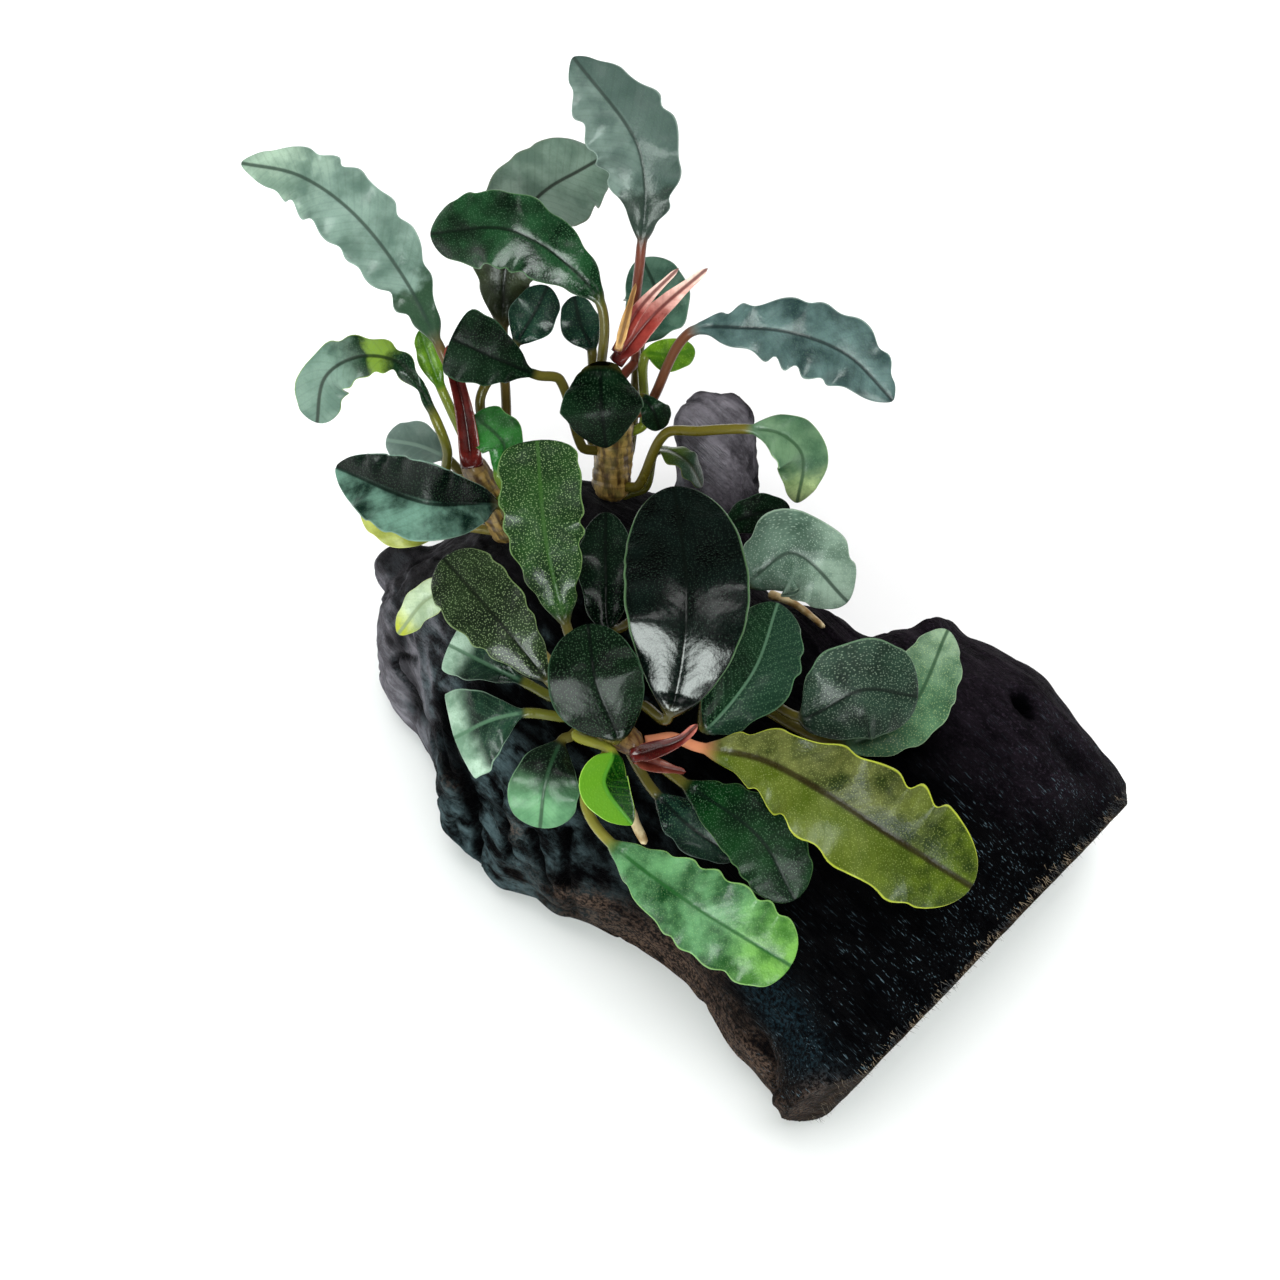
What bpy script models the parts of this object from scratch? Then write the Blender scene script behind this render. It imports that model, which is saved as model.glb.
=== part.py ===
"""Bucephalandra growing on a piece of driftwood, as sold for a planted aquarium.

The wood is a short log with a saw cut at one end, a back knob and a left spur. Four creeping
rhizomes lie on it. Each leaf is one solid, petiole and blade together, and springs from a rhizome.
Metres, +Z up. The origin is on the surface that the wood stands on, under the middle of the log.
"""

import math

import bmesh
import bpy
from mathutils import Matrix, Vector
from mathutils.bvhtree import BVHTree

MM = 0.001
GAP = 0.3 * MM

# The front view: a place that is given as (across, down, height) is where a point shows in a
# picture of 1280 by 1280 from the front and above, with its height over the ground in millimetres.
VIEW_ELEVATION = math.radians(55)
VIEW_DISTANCE = 460 * MM
VIEW_TARGET = Vector((0, 0, 36 * MM))
VIEW_CENTRE = 640
VIEW_STEP = 0.145 * MM
VIEW_AHEAD = Vector((0, math.cos(VIEW_ELEVATION), -math.sin(VIEW_ELEVATION)))
VIEW_UP = Vector((0, math.sin(VIEW_ELEVATION), math.cos(VIEW_ELEVATION)))
VIEW_EYE = VIEW_TARGET - VIEW_AHEAD * VIEW_DISTANCE

# The log: its grain runs away from the saw cut, along WOOD_HEADING in plan.
WOOD_HEADING = math.radians(131)
WOOD_LENGTH_BEFORE_ORIGIN = 65.5 * MM
WOOD_SIDES = 30
WOOD_WAIST_HEIGHT = 10 * MM
WOOD_ROOT_DEPTH = 15 * MM
WOOD_SQUARENESS = 0.72
CUT_SKEW = 0.12
CUT_LEAN = 0.29
CUT_MIDDLE_ACROSS = 7.6 * MM
CUT_MIDDLE_HEIGHT = 24 * MM
CUT_REACH = 16 * MM
# Stations of the log, in millimetres: (along, left edge, right edge, top).
WOOD_STATIONS = (
    (0, -26.5, 43, 28),
    (5, -25.5, 45.5, 29.5),
    (11, -23.5, 47.5, 30.5),
    (18, -22.5, 49, 31),
    (25, -22, 49.5, 31.5),
    (32, -22, 49.5, 32),
    (39, -22.5, 48.5, 32),
    (45, -23.5, 46.5, 31),
    (47.5, -25, 41, 30),
    (49.5, -26, 34.5, 30),
    (52.5, -27.5, 33, 31.5),
    (57, -29, 32.5, 32),
    (62, -30.5, 30, 32),
    (68, -31, 30, 32.5),
    (74, -30.5, 31.5, 33),
    (80, -28, 33, 33),
    (86, -25, 32, 32.5),
    (92, -23, 29, 31),
    (98, -22.5, 25, 29),
    (103, -20.5, 20, 26),
    (107, -17, 13, 22),
    (110, -10, 4, 16),
)

RHIZOME_RADIUS = 2.3 * MM
PETIOLE_RADIUS = 0.75 * MM
BLADE_THICKNESS = 0.7 * MM
PETIOLE_SPANS = 3
PETIOLE_RISE = 2.6 * MM
SHEATH_STALK_RADIUS = 0.6 * MM
SHEATH_WIDEST = 0.3
SHEATH_BLUNTNESS = 1.1
SHEATH_CUP = 0.25

# Two short arms of the wood, as (start, end) with half the width and half the height at each.
KNOB_START = Vector((12.2, 24, 17)) * MM
KNOB_END = Vector((12, 53, 25)) * MM
KNOB_START_SIZE = (6.8 * MM, 9 * MM)
KNOB_END_SIZE = (6.2 * MM, 6 * MM)
KNOB_LOBES = 1.5 * MM
SPUR_START = Vector((-24, 22, 12)) * MM
SPUR_END = Vector((-40, 28.5, 17)) * MM
SPUR_START_SIZE = (7 * MM, 7 * MM)
SPUR_END_SIZE = (3.6 * MM, 4 * MM)

# Colours of the front view, as linear red, green and blue, with roughness.
FINISHES = {
    "driftwood": ((0.012, 0.009, 0.010), 0.75),
    "dark_leaf": ((0.010, 0.030, 0.018), 0.25),
    "teal_leaf": ((0.030, 0.060, 0.050), 0.35),
    "green_leaf": ((0.030, 0.110, 0.025), 0.30),
    "pale_leaf": ((0.100, 0.260, 0.110), 0.40),
    "young_leaf": ((0.080, 0.300, 0.010), 0.30),
    "olive_leaf": ((0.170, 0.200, 0.015), 0.30),
    "rhizome_bark": ((0.230, 0.120, 0.035), 0.55),
    "red_sheath": ((0.260, 0.035, 0.025), 0.35),
    "tan_sheath": ((0.350, 0.230, 0.100), 0.50),
    "root_skin": ((0.550, 0.400, 0.190), 0.60),
}


def seen(across, down, height):
    """The point that shows at (across, down) in the front view, height millimetres up."""
    ray = view_ray(across, down)
    return VIEW_EYE + ray * ((height * MM - VIEW_EYE.z) / ray.z)


def view_ray(across, down):
    """The direction from the eye of the front view through a place in its picture."""
    side = Vector((1, 0, 0)) * ((across - VIEW_CENTRE) * VIEW_STEP)
    rise = VIEW_UP * ((VIEW_CENTRE - down) * VIEW_STEP)
    return VIEW_AHEAD * VIEW_DISTANCE + side + rise


def smooth_curve(points):
    """A smooth line through the points, by distance along them, and the distance of each point."""
    steps = [(after - before).length for before, after in zip(points, points[1:])]
    marks = [sum(steps[:i]) for i in range(len(points))]
    last = len(points) - 1
    slopes = []
    for i in range(len(points)):
        low = max(i - 1, 0)
        high = min(i + 1, last)
        slopes.append((points[high] - points[low]) / (marks[high] - marks[low]))

    def place(distance):
        i = max(j for j in range(last) if marks[j] <= distance or j == 0)
        step = steps[i]
        t = (distance - marks[i]) / step
        ease = t * t * (3 - 2 * t)
        leave = slopes[i] * (step * t * (1 - t) ** 2)
        arrive = slopes[i + 1] * (step * t * t * (t - 1))
        return points[i] * (1 - ease) + points[i + 1] * ease + leave + arrive

    return place, marks


def new_collection(name):
    collection = bpy.data.collections.new(name)
    bpy.context.scene.collection.children.link(collection)
    return collection


def finish(name):
    """The Principled material of one finish, made the first time that it is asked for."""
    if name in bpy.data.materials:
        return bpy.data.materials[name]
    colour, roughness = FINISHES[name]
    made = bpy.data.materials.new(name)
    made.use_nodes = True
    shader = made.node_tree.nodes["Principled BSDF"]
    shader.inputs["Base Color"].default_value = (*colour, 1)
    shader.inputs["Roughness"].default_value = roughness
    shader.inputs["Metallic"].default_value = 0
    made.diffuse_color = (*colour, 1)
    return made


def add_object(name, mesh, finish_name, collection):
    mesh.materials.clear()
    mesh.materials.append(finish(finish_name))
    made = bpy.data.objects.new(name, mesh)
    collection.objects.link(made)
    return made


def loft(name, rings):
    """A closed mesh through rings of equally many points, with a flat cap on each end."""
    shell = bmesh.new()
    rows = [[shell.verts.new(point) for point in ring] for ring in rings]
    sides = len(rows[0])
    for low, high in zip(rows, rows[1:]):
        for i in range(sides):
            j = (i + 1) % sides
            shell.faces.new((low[i], low[j], high[j], high[i]))
    shell.faces.new(rows[0][::-1])
    shell.faces.new(rows[-1])
    bmesh.ops.recalc_face_normals(shell, faces=shell.faces)
    bmesh.ops.triangulate(shell, faces=shell.faces)
    mesh = bpy.data.meshes.new(name)
    shell.to_mesh(mesh)
    shell.free()
    mesh.shade_smooth()
    mesh.set_sharp_from_angle(angle=math.radians(40))
    return mesh


def wood_place(along, across, height):
    """A point of the log, from the distance along its grain, across it and over the ground."""
    grain = Vector((math.cos(WOOD_HEADING), math.sin(WOOD_HEADING), 0))
    aside = Vector((math.sin(WOOD_HEADING), -math.cos(WOOD_HEADING), 0))
    place = grain * (along - WOOD_LENGTH_BEFORE_ORIGIN) + aside * across
    return place + Vector((0, 0, height))


def wood_swell(along, turn):
    """How far the log's weathered side stands out or falls in, as a share of its radius."""
    ripple = 0.025 * math.sin(3 * turn + 230 * along) + 0.018 * math.sin(5 * turn - 150 * along)
    bend = math.exp(-(((along - 66 * MM) / (11 * MM)) ** 2))
    left_side = max(0.0, -math.cos(turn)) ** 2
    return ripple + 0.05 * bend * left_side * math.sin(620 * along)


def wood_ring(along, left, right, top):
    """One section of the log: a flattened round that stands on a flat underside."""
    middle = (left + right) / 2
    half_width = (right - left) / 2
    ring = []
    for i in range(WOOD_SIDES):
        turn = 2 * math.pi * (i + 0.5) / WOOD_SIDES
        swell = 1 + wood_swell(along, turn)
        sideways = math.copysign(abs(math.cos(turn)) ** WOOD_SQUARENESS, math.cos(turn))
        upright = math.copysign(abs(math.sin(turn)) ** WOOD_SQUARENESS, math.sin(turn))
        rise = top - WOOD_WAIST_HEIGHT if upright > 0 else WOOD_ROOT_DEPTH
        across = middle + half_width * sideways * swell
        height = max(0.0, WOOD_WAIST_HEIGHT + rise * upright * swell)
        slant = CUT_SKEW * (across - CUT_MIDDLE_ACROSS) - CUT_LEAN * (height - CUT_MIDDLE_HEIGHT)
        share = max(0.0, 1 - along / CUT_REACH)
        ring.append(wood_place(along + slant * share, across, height))
    return ring


def build_trunk(collection):
    rings = [wood_ring(*[size * MM for size in station]) for station in WOOD_STATIONS]
    return add_object("driftwood_trunk", loft("driftwood_trunk", rings), "driftwood", collection)


def branch_mesh(name, start, end, start_size, end_size, spans, sides, lobes):
    """A stub of wood from start to end: sizes are half its width and half its height."""
    ahead = (end - start).normalized()
    aside = ahead.cross(Vector((0, 0, 1))).normalized()
    rise = aside.cross(ahead)
    rings = []
    for i in range(spans + 1):
        share = i / spans
        dome = math.sqrt(max(0.0, 1 - max(0.0, (share - 0.72) / 0.28) ** 2 * 0.85))
        waist = 1 - 0.12 * math.exp(-(((share - 0.5) / 0.14) ** 2))
        ring = []
        for j in range(sides):
            turn = 2 * math.pi * (j + 0.5) / sides
            knots = 1 + 0.08 * math.sin(3 * turn + 7 * share) + 0.05 * math.sin(2 * turn - 11 * share)
            wide = (start_size[0] * (1 - share) + end_size[0] * share) * dome * waist * knots
            high = (start_size[1] * (1 - share) + end_size[1] * share) * dome * waist * knots
            tip = lobes * share ** 3 * abs(math.cos(turn))
            centre = start + (end - start) * share + ahead * tip
            ring.append(centre + aside * (wide * math.cos(turn)) + rise * (high * math.sin(turn)))
        rings.append(ring)
    return loft(name, rings)


def grown(mesh, name, distance, collection):
    """A hidden copy of a mesh that stands out from it by a distance, to cut its neighbours with."""
    shell = bmesh.new()
    shell.from_mesh(mesh)
    shell.normal_update()
    moves = [vert.normal * distance for vert in shell.verts]
    for vert, move in zip(shell.verts, moves):
        vert.co += move
    copy = bpy.data.meshes.new(name)
    shell.to_mesh(copy)
    shell.free()
    cutter = bpy.data.objects.new(name, copy)
    cutter.hide_render = True
    cutter.display_type = "WIRE"
    collection.objects.link(cutter)
    return cutter


def cut_back(piece, cutter):
    """Take the cutter's space out of a piece."""
    cut = piece.modifiers.new("clear_of_" + cutter.name, "BOOLEAN")
    cut.operation = "DIFFERENCE"
    cut.object = cutter
    cut.solver = "EXACT"


def tube(name, points, radii, finish_name, collection):
    """A round tube through the points, as a welded mesh object."""
    curve = bpy.data.curves.new(name, "CURVE")
    curve.dimensions = "3D"
    curve.bevel_depth = 1
    curve.bevel_resolution = 2
    curve.use_fill_caps = True
    line = curve.splines.new("POLY")
    line.points.add(len(points) - 1)
    for i, point in enumerate(points):
        line.points[i].co = (*point, 1)
        line.points[i].radius = radii[i]
    drawn = bpy.data.objects.new(name + "_line", curve)
    collection.objects.link(drawn)
    bpy.context.view_layer.update()
    mesh = bpy.data.meshes.new_from_object(drawn.evaluated_get(bpy.context.evaluated_depsgraph_get()))
    shell = bmesh.new()
    shell.from_mesh(mesh)
    bmesh.ops.remove_doubles(shell, verts=shell.verts, dist=0.01 * MM)
    bmesh.ops.recalc_face_normals(shell, faces=shell.faces)
    shell.to_mesh(mesh)
    shell.free()
    mesh.shade_smooth()
    mesh.set_sharp_from_angle(angle=math.radians(40))
    mesh.name = name
    bpy.data.objects.remove(drawn)
    return add_object(name, mesh, finish_name, collection)


def surface_tree(piece):
    return BVHTree.FromObject(piece, bpy.context.evaluated_depsgraph_get())


def on_wood(tree, across, down, lift):
    """The point of the wood that shows at a place in the front view, raised off its surface."""
    hit, normal, _, _ = tree.ray_cast(VIEW_EYE, view_ray(across, down).normalized())
    return hit + normal * lift


def blade_half_width(share, width, widest, bluntness):
    """Half the blade's width at a share of its length: it tapers to the petiole and ends rounded."""
    if share < widest:
        return width / 2 * math.sin(math.pi / 2 * share / widest) ** 0.8
    return width / 2 * (1 - ((share - widest) / (1 - widest)) ** bluntness) ** 0.55


def leaf_ring(centre, aside, face, half_width, half_thick, flat, lifts):
    """A section that is round for flat = 0 and a thin blade with a groove for flat = 1."""
    halfway = (1 - flat) * 0.707 + flat * 0.52
    top = (1 - flat) * 0.707 * half_width + flat * half_thick
    rib = (1 - flat) * half_width + flat * half_thick * 0.7
    under = (1 - flat) * half_width + flat * half_thick * 1.5
    left, right = lifts
    outline = (
        (1, right),
        (halfway, right * 0.4 + top),
        (0, rib),
        (-halfway, left * 0.4 + top),
        (-1, left),
        (-halfway, left * 0.4 - top),
        (0, -under),
        (halfway, right * 0.4 - top),
    )
    return [centre + aside * (x * half_width) + face * y for x, y in outline]


def leaf_mesh(name, points, base, width, widest, bluntness, roll, cup, wave, waves, spans, radius):
    """One leaf along its points: a round petiole up to the one numbered base, then the blade."""
    line, marks = smooth_curve(points)
    base_at = marks[base]
    last = marks[-1]
    chord = (line(last) - line(base_at)).normalized()
    facing = Matrix.Rotation(math.radians(roll), 3, chord) @ -VIEW_AHEAD
    rings = []
    aside = chord.cross(facing).normalized()
    stations = [base_at * i / PETIOLE_SPANS for i in range(PETIOLE_SPANS)] if base else []
    stations += [base_at + (last - base_at) * i / spans for i in range(spans + 1)]
    for at in stations:
        step = 0.1 * MM
        tangent = (line(min(at + step, last)) - line(max(at - step, 0))).normalized()
        turned = tangent.cross(facing)
        if turned.length > 0.25:
            aside = turned.normalized()
        aside = (aside - tangent * aside.dot(tangent)).normalized()
        face = aside.cross(tangent)
        share = max(0.0, (at - base_at) / (last - base_at))
        blade = blade_half_width(min(share, 0.985), width, widest, bluntness) if share > 0 else 0
        half_width = max(blade, radius * (1 - 0.5 * share))
        flat = min(1.0, share / 0.12)
        swing = wave * math.sin(math.pi * min(1, 1.2 * share)) ** 0.5
        turn = 2 * math.pi * waves * share
        lifts = (
            flat * (cup * half_width + swing * math.sin(turn)),
            flat * (cup * half_width + swing * math.sin(turn + 2.1)),
        )
        thick = BLADE_THICKNESS / 2 * (1 - 0.4 * share)
        rings.append(leaf_ring(line(at), aside, face, half_width, thick, flat, lifts))
    return loft(name, rings)


class Rhizome:
    """A creeping stem with its leaf joints spread along it."""

    def __init__(self, start, end, joints):
        self.start = start
        self.end = end
        self.joints = joints
        self.used = 0

    def next_joint(self, towards):
        """Where the next leaf starts on the rhizome's skin, and which way it leaves."""
        share = (self.used + 0.6) / self.joints
        self.used += 1
        centre = self.start.lerp(self.end, share)
        grain = (self.end - self.start).normalized()
        out = towards - centre
        out = (out - grain * out.dot(grain)).normalized()
        return centre + out * (RHIZOME_RADIUS + GAP + 0.1 * MM), (out + grain * 0.5).normalized()


def build_leaf(rhizome, collection, name, finish_name, route, width, blade_from=0, widest=0.5,
               bluntness=2.2, roll=0, cup=0.0, wave=0.5, waves=3.5, spans=7, radius=PETIOLE_RADIUS):
    """A leaf from its rhizome through its route, whose blade starts at route[blade_from]."""
    places = [seen(*place) for place in route]
    joint, leaving = rhizome.next_joint(places[0])
    points = [joint, joint + leaving * PETIOLE_RISE, *places]
    mesh = leaf_mesh(name, points, 2 + blade_from, width * MM, widest, bluntness, roll, cup,
                     wave * MM, waves, spans, radius)
    return add_object(name, mesh, finish_name, collection)


def build_back_crown(rhizome, collection):
    """The tall crown at the back, from its lowest leaf joint up."""
    def leaf(name, finish_name, route, width, **form):
        build_leaf(rhizome, collection, "leaf_back_" + name, finish_name, route, width, **form)

    leaf("arching_strip", "olive_leaf", ((655, 452, 38), (684, 459, 41), (702, 487, 37)), 4.5,
         roll=-35, spans=5, wave=0.2)
    leaf("long_stalk", "teal_leaf",
         ((665, 434, 46), (700, 431, 49), (745, 429, 51), (780, 434, 51), (802, 456, 48),
          (797, 503, 41)), 6.8, blade_from=2, roll=-15, widest=0.45, spans=7, wave=0.4)
    leaf("behind_sheath", "teal_leaf", ((640, 345, 49), (657, 300, 51), (642, 258, 53)), 10,
         spans=5, wave=0.3)
    leaf("inner_right", "dark_leaf", ((592, 352, 50), (581, 325, 52), (574, 296, 54)), 6,
         spans=5, wave=0.3)
    leaf("left_glossy", "dark_leaf", ((560, 380, 52), (537, 375, 54), (497, 359, 58), (451, 338, 61)), 10.5,
         blade_from=1, widest=0.6, bluntness=3, spans=7, wave=0.3)
    leaf("young_bright", "young_leaf", ((645, 356, 51), (670, 355, 50), (695, 350, 49)), 5,
         spans=5, wave=0.1)
    leaf("front_heart", "dark_leaf", ((601, 378, 58), (602, 410, 57), (606, 448, 48)), 12,
         widest=0.42, spans=6, wave=0.2, cup=-0.1)
    leaf("right_wavy", "teal_leaf",
         ((688, 334, 57), (745, 328, 60), (800, 335, 60), (850, 357, 57), (893, 401, 53)), 10.8,
         wave=0.7, waves=4.5, widest=0.62, spans=10)
    leaf("small_right", "dark_leaf", ((642, 398, 51), (653, 410, 50.5), (660, 430, 46)), 4.5,
         spans=5, wave=0.2)
    leaf("arching_left", "dark_leaf", ((602, 308, 63), (560, 258, 68), (505, 229, 71), (430, 234, 66)), 11.3,
         wave=0.6, spans=10, cup=-0.15, widest=0.6, bluntness=3)
    leaf("upright_tall", "teal_leaf",
         ((633, 329, 54), (641, 250, 66), (645, 190, 73), (634, 138, 79), (573, 57, 85)), 12.8,
         blade_from=1, wave=0.7, waves=4.5, widest=0.55, spans=10)


def build_left_crown(rhizome, collection):
    """The crown at the left, from its lowest leaf joint up."""
    def leaf(name, finish_name, route, width, **form):
        build_leaf(rhizome, collection, "leaf_left_" + name, finish_name, route, width, **form)

    leaf("olive_far", "teal_leaf",
         ((508, 440, 43), (506, 400, 46), (503, 333, 51), (507, 262, 60), (532, 203, 64), (603, 157, 62)), 14,
         blade_from=2, widest=0.6, bluntness=3, wave=0.8, spans=10)
    leaf("pale_under", "olive_leaf", ((445, 528, 33), (400, 524, 36), (361, 507, 36)), 7,
         spans=5, wave=0.3)
    leaf("large_glossy", "dark_leaf", ((500, 505, 41), (425, 503, 47), (336, 467, 44)), 11.5,
         spans=9, wave=0.7, waves=3)
    leaf("inner", "dark_leaf", ((480, 402, 50), (515, 345, 55), (535, 312, 58), (548, 286, 60)), 7,
         blade_from=1, spans=5, wave=0.3)
    leaf("small_green", "green_leaf", ((498, 474, 46), (504, 445, 49), (474, 415, 51)), 7,
         spans=5, wave=0.2)
    leaf("pale_behind", "teal_leaf", ((446, 458, 40), (420, 446, 41), (386, 440, 40)), 7,
         spans=5, wave=0.3)
    leaf("arched_far", "teal_leaf",
         ((447, 450, 46), (436, 420, 50), (420, 388, 53), (398, 362, 55), (358, 357, 54), (325, 378, 50),
          (317, 423, 43)), 7.5, blade_from=1, widest=0.7, bluntness=3, spans=9, wave=0.4)
    leaf("young_bright", "young_leaf", ((442, 390, 50), (430, 360, 53), (420, 330, 56)), 3.5,
         spans=5, wave=0.1)
    leaf("long_wavy", "teal_leaf",
         ((442, 352, 57), (404, 278, 62), (355, 215, 67), (300, 176, 69), (241, 163, 68)), 10.8,
         wave=0.8, waves=5, widest=0.55, spans=11)


def build_middle_crown(rhizome, collection):
    """The leaves between the front rosette and the back crown."""
    def leaf(name, finish_name, route, width, **form):
        build_leaf(rhizome, collection, "leaf_middle_" + name, finish_name, route, width, **form)

    leaf("pale_behind", "pale_leaf", ((838, 744, 35), (905, 715, 36), (948, 630, 35)), 10,
         spans=6, wave=0.5)
    leaf("grey_oval", "teal_leaf", ((798, 717, 39), (862, 690, 43), (918, 697, 40)), 14.2,
         bluntness=3, spans=7, wave=0.3)
    leaf("right_oval", "dark_leaf", ((704, 728, 42), (752, 674, 45), (778, 603, 45)), 12,
         spans=7, wave=0.3)
    leaf("dark_strip", "dark_leaf", ((612, 630, 41), (606, 570, 45), (606, 512, 47)), 8,
         spans=6, wave=0.3)
    leaf("pale_wavy", "pale_leaf", ((745, 583, 39), (793, 553, 43), (848, 602, 37)), 12.6,
         spans=7, wave=0.8, widest=0.42)
    leaf("dark_far", "dark_leaf", ((722, 530, 38), (755, 514, 41), (790, 508, 40)), 5.5,
         spans=5, wave=0.3)


def build_front_crown(rhizome, collection):
    """The front rosette, from its oldest leaf joint to the tip."""
    def leaf(name, finish_name, route, width, **form):
        build_leaf(rhizome, collection, "leaf_front_" + name, finish_name, route, width, **form)

    leaf("pale_left", "pale_leaf", ((478, 592, 38), (432, 596, 38), (398, 634, 33)), 5,
         spans=5, wave=0.3)
    leaf("teal_left", "teal_leaf", ((526, 683, 38), (487, 664, 39), (449, 645, 38)), 6.5,
         spans=5, wave=0.3)
    leaf("speckled_left", "dark_leaf", ((551, 683, 44), (498, 620, 50), (443, 558, 49)), 10.8,
         spans=7, wave=0.3)
    leaf("speckled_tall", "green_leaf", ((567, 628, 45), (546, 540, 53), (537, 440, 58)), 11.7,
         spans=9, wave=0.4, widest=0.66, bluntness=3.5)
    leaf("drooping_left", "teal_leaf", ((527, 713, 41), (482, 722, 42), (462, 783, 34)), 9.5,
         spans=6, wave=0.3, roll=15)
    leaf("drooping_front", "pale_leaf", ((562, 740, 38), (546, 780, 37), (540, 828, 31)), 10,
         spans=6, wave=0.2, widest=0.58, bluntness=3)
    leaf("young_folded", "young_leaf", ((612, 752, 42), (604, 784, 41), (632, 825, 38)), 7,
         spans=5, wave=0.1, cup=0.3, widest=0.4)
    leaf("dark_oval", "dark_leaf", ((617, 739, 44), (596, 682, 50), (588, 624, 55)), 13.3,
         spans=7, wave=0.2)
    leaf("big_oval", "dark_leaf", ((668, 718, 45), (687, 605, 54), (674, 486, 57)), 17.5,
         spans=9, wave=0.3, widest=0.5, bluntness=2.6)
    leaf("long_pale_tip", "pale_leaf", ((585, 800, 37), (606, 838, 35), (690, 903, 34), (791, 966, 30)), 12,
         blade_from=1, spans=9, wave=0.5, widest=0.5, bluntness=2.6)
    leaf("low_teal", "teal_leaf", ((655, 792, 35), (692, 828, 34), (737, 858, 32)), 6.5,
         spans=5, wave=0.3)
    leaf("dark_lower", "dark_leaf", ((681, 781, 39), (758, 836, 39), (795, 900, 34)), 10.3,
         spans=7, wave=0.3, widest=0.62, bluntness=3)
    leaf("long_olive", "olive_leaf",
         ((698, 747, 43), (760, 759, 45), (825, 793, 45.5), (885, 832, 43), (972, 887, 36)), 15.3,
         spans=11, wave=0.8, waves=4.5, widest=0.65, bluntness=3.2)


def build_sheath(collection, name, finish_name, route, width):
    """A pointed sheath that wraps a new leaf: thick, narrow and drawn out to a tip."""
    points = [seen(*place) for place in route]
    mesh = leaf_mesh(name, points, 0, width * MM, SHEATH_WIDEST, SHEATH_BLUNTNESS, roll=0,
                     cup=SHEATH_CUP, wave=0, waves=1, spans=5, radius=SHEATH_STALK_RADIUS)
    add_object("sheath_" + name, mesh, finish_name, collection)


def build_sheaths(collection):
    """The red and dry sheaths of the three crowns."""
    def sheath(name, finish_name, route, width):
        build_sheath(collection, name, finish_name, route, width)

    sheath("back_long", "red_sheath", ((622, 352, 55), (655, 314, 60), (708, 268, 63)), 3.2)
    sheath("back_short", "red_sheath", ((618, 344, 57), (640, 308, 61), (679, 268, 64)), 2)
    sheath("back_dry", "tan_sheath", ((620, 345, 60), (627, 316, 63), (636, 283, 66)), 1.6)
    sheath("left", "red_sheath", ((470, 440, 50), (458, 398, 54), (447, 345, 58)), 3)
    sheath("front_upper", "red_sheath", ((650, 745, 46), (674, 737, 47), (697, 726, 48)), 1.8)
    sheath("front_lower", "red_sheath", ((652, 758, 44), (666, 765, 44), (682, 770, 43)), 2.4)


def build_rhizome(collection, name, start, end, clearance):
    """A rhizome with rings of old leaf scars, cut back where it presses on the wood."""
    steps = 9
    places = [start.lerp(end, i / steps) for i in range(steps + 1)]
    radii = [RHIZOME_RADIUS * (0.94 + 0.06 * (i % 2)) for i in range(steps + 1)]
    piece = tube(name, places, radii, "rhizome_bark", collection)
    cut_back(piece, clearance)


def build_root(collection, name, route, tree, radius):
    """A root that runs over the wood through places of the front view."""
    lift = radius * MM + GAP + 0.2 * MM
    places = [on_wood(tree, across, down, lift) for across, down in route]
    line, marks = smooth_curve(places)
    steps = 3 * (len(places) - 1)
    points = [line(marks[-1] * i / steps) for i in range(steps + 1)]
    radii = [radius * MM * (1 - 0.4 * i / steps) for i in range(steps + 1)]
    return tube(name, points, radii, "root_skin", collection)


def build_wood(collection, cutters):
    """The trunk and, past its two forks, the back knob and the left spur."""
    trunk = build_trunk(collection)
    clearance = grown(trunk.data, "trunk_clearance", GAP + 0.05 * MM, cutters)
    knob = branch_mesh("driftwood_back_knob", KNOB_START, KNOB_END, KNOB_START_SIZE,
                       KNOB_END_SIZE, spans=9, sides=12, lobes=KNOB_LOBES)
    cut_back(add_object("driftwood_back_knob", knob, "driftwood", collection), clearance)
    spur = branch_mesh("driftwood_left_spur", SPUR_START, SPUR_END, SPUR_START_SIZE,
                       SPUR_END_SIZE, spans=6, sides=10, lobes=0)
    cut_back(add_object("driftwood_left_spur", spur, "driftwood", collection), clearance)
    return trunk, clearance


def main():
    for old in list(bpy.data.objects):
        bpy.data.objects.remove(old)
    plant_collection = new_collection("bucephalandra_on_driftwood")
    cutters = new_collection("cutters")
    trunk, clearance = build_wood(plant_collection, cutters)
    bpy.context.view_layer.update()
    tree = surface_tree(trunk)

    back = Rhizome(on_wood(tree, 612, 505, 1 * MM), seen(614, 374, 50), 11)
    left = Rhizome(on_wood(tree, 512, 545, 1 * MM), seen(468, 455, 46), 9)
    middle = Rhizome(on_wood(tree, 662, 690, 2.2 * MM), on_wood(tree, 722, 565, 2.2 * MM), 6)
    front = Rhizome(on_wood(tree, 566, 700, 2.2 * MM), seen(640, 748, 42), 13)
    for name, stem in (("back", back), ("left", left), ("middle", middle), ("front", front)):
        build_rhizome(plant_collection, "rhizome_" + name, stem.start, stem.end, clearance)

    build_back_crown(back, plant_collection)
    build_left_crown(left, plant_collection)
    build_middle_crown(middle, plant_collection)
    build_front_crown(front, plant_collection)
    build_sheaths(plant_collection)
    build_root(plant_collection, "root_front", ((618, 790), (632, 815), (650, 846)), tree, 1.0)
    build_root(plant_collection, "root_right", ((765, 600), (795, 612), (822, 634)), tree, 0.7)


main()
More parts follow.
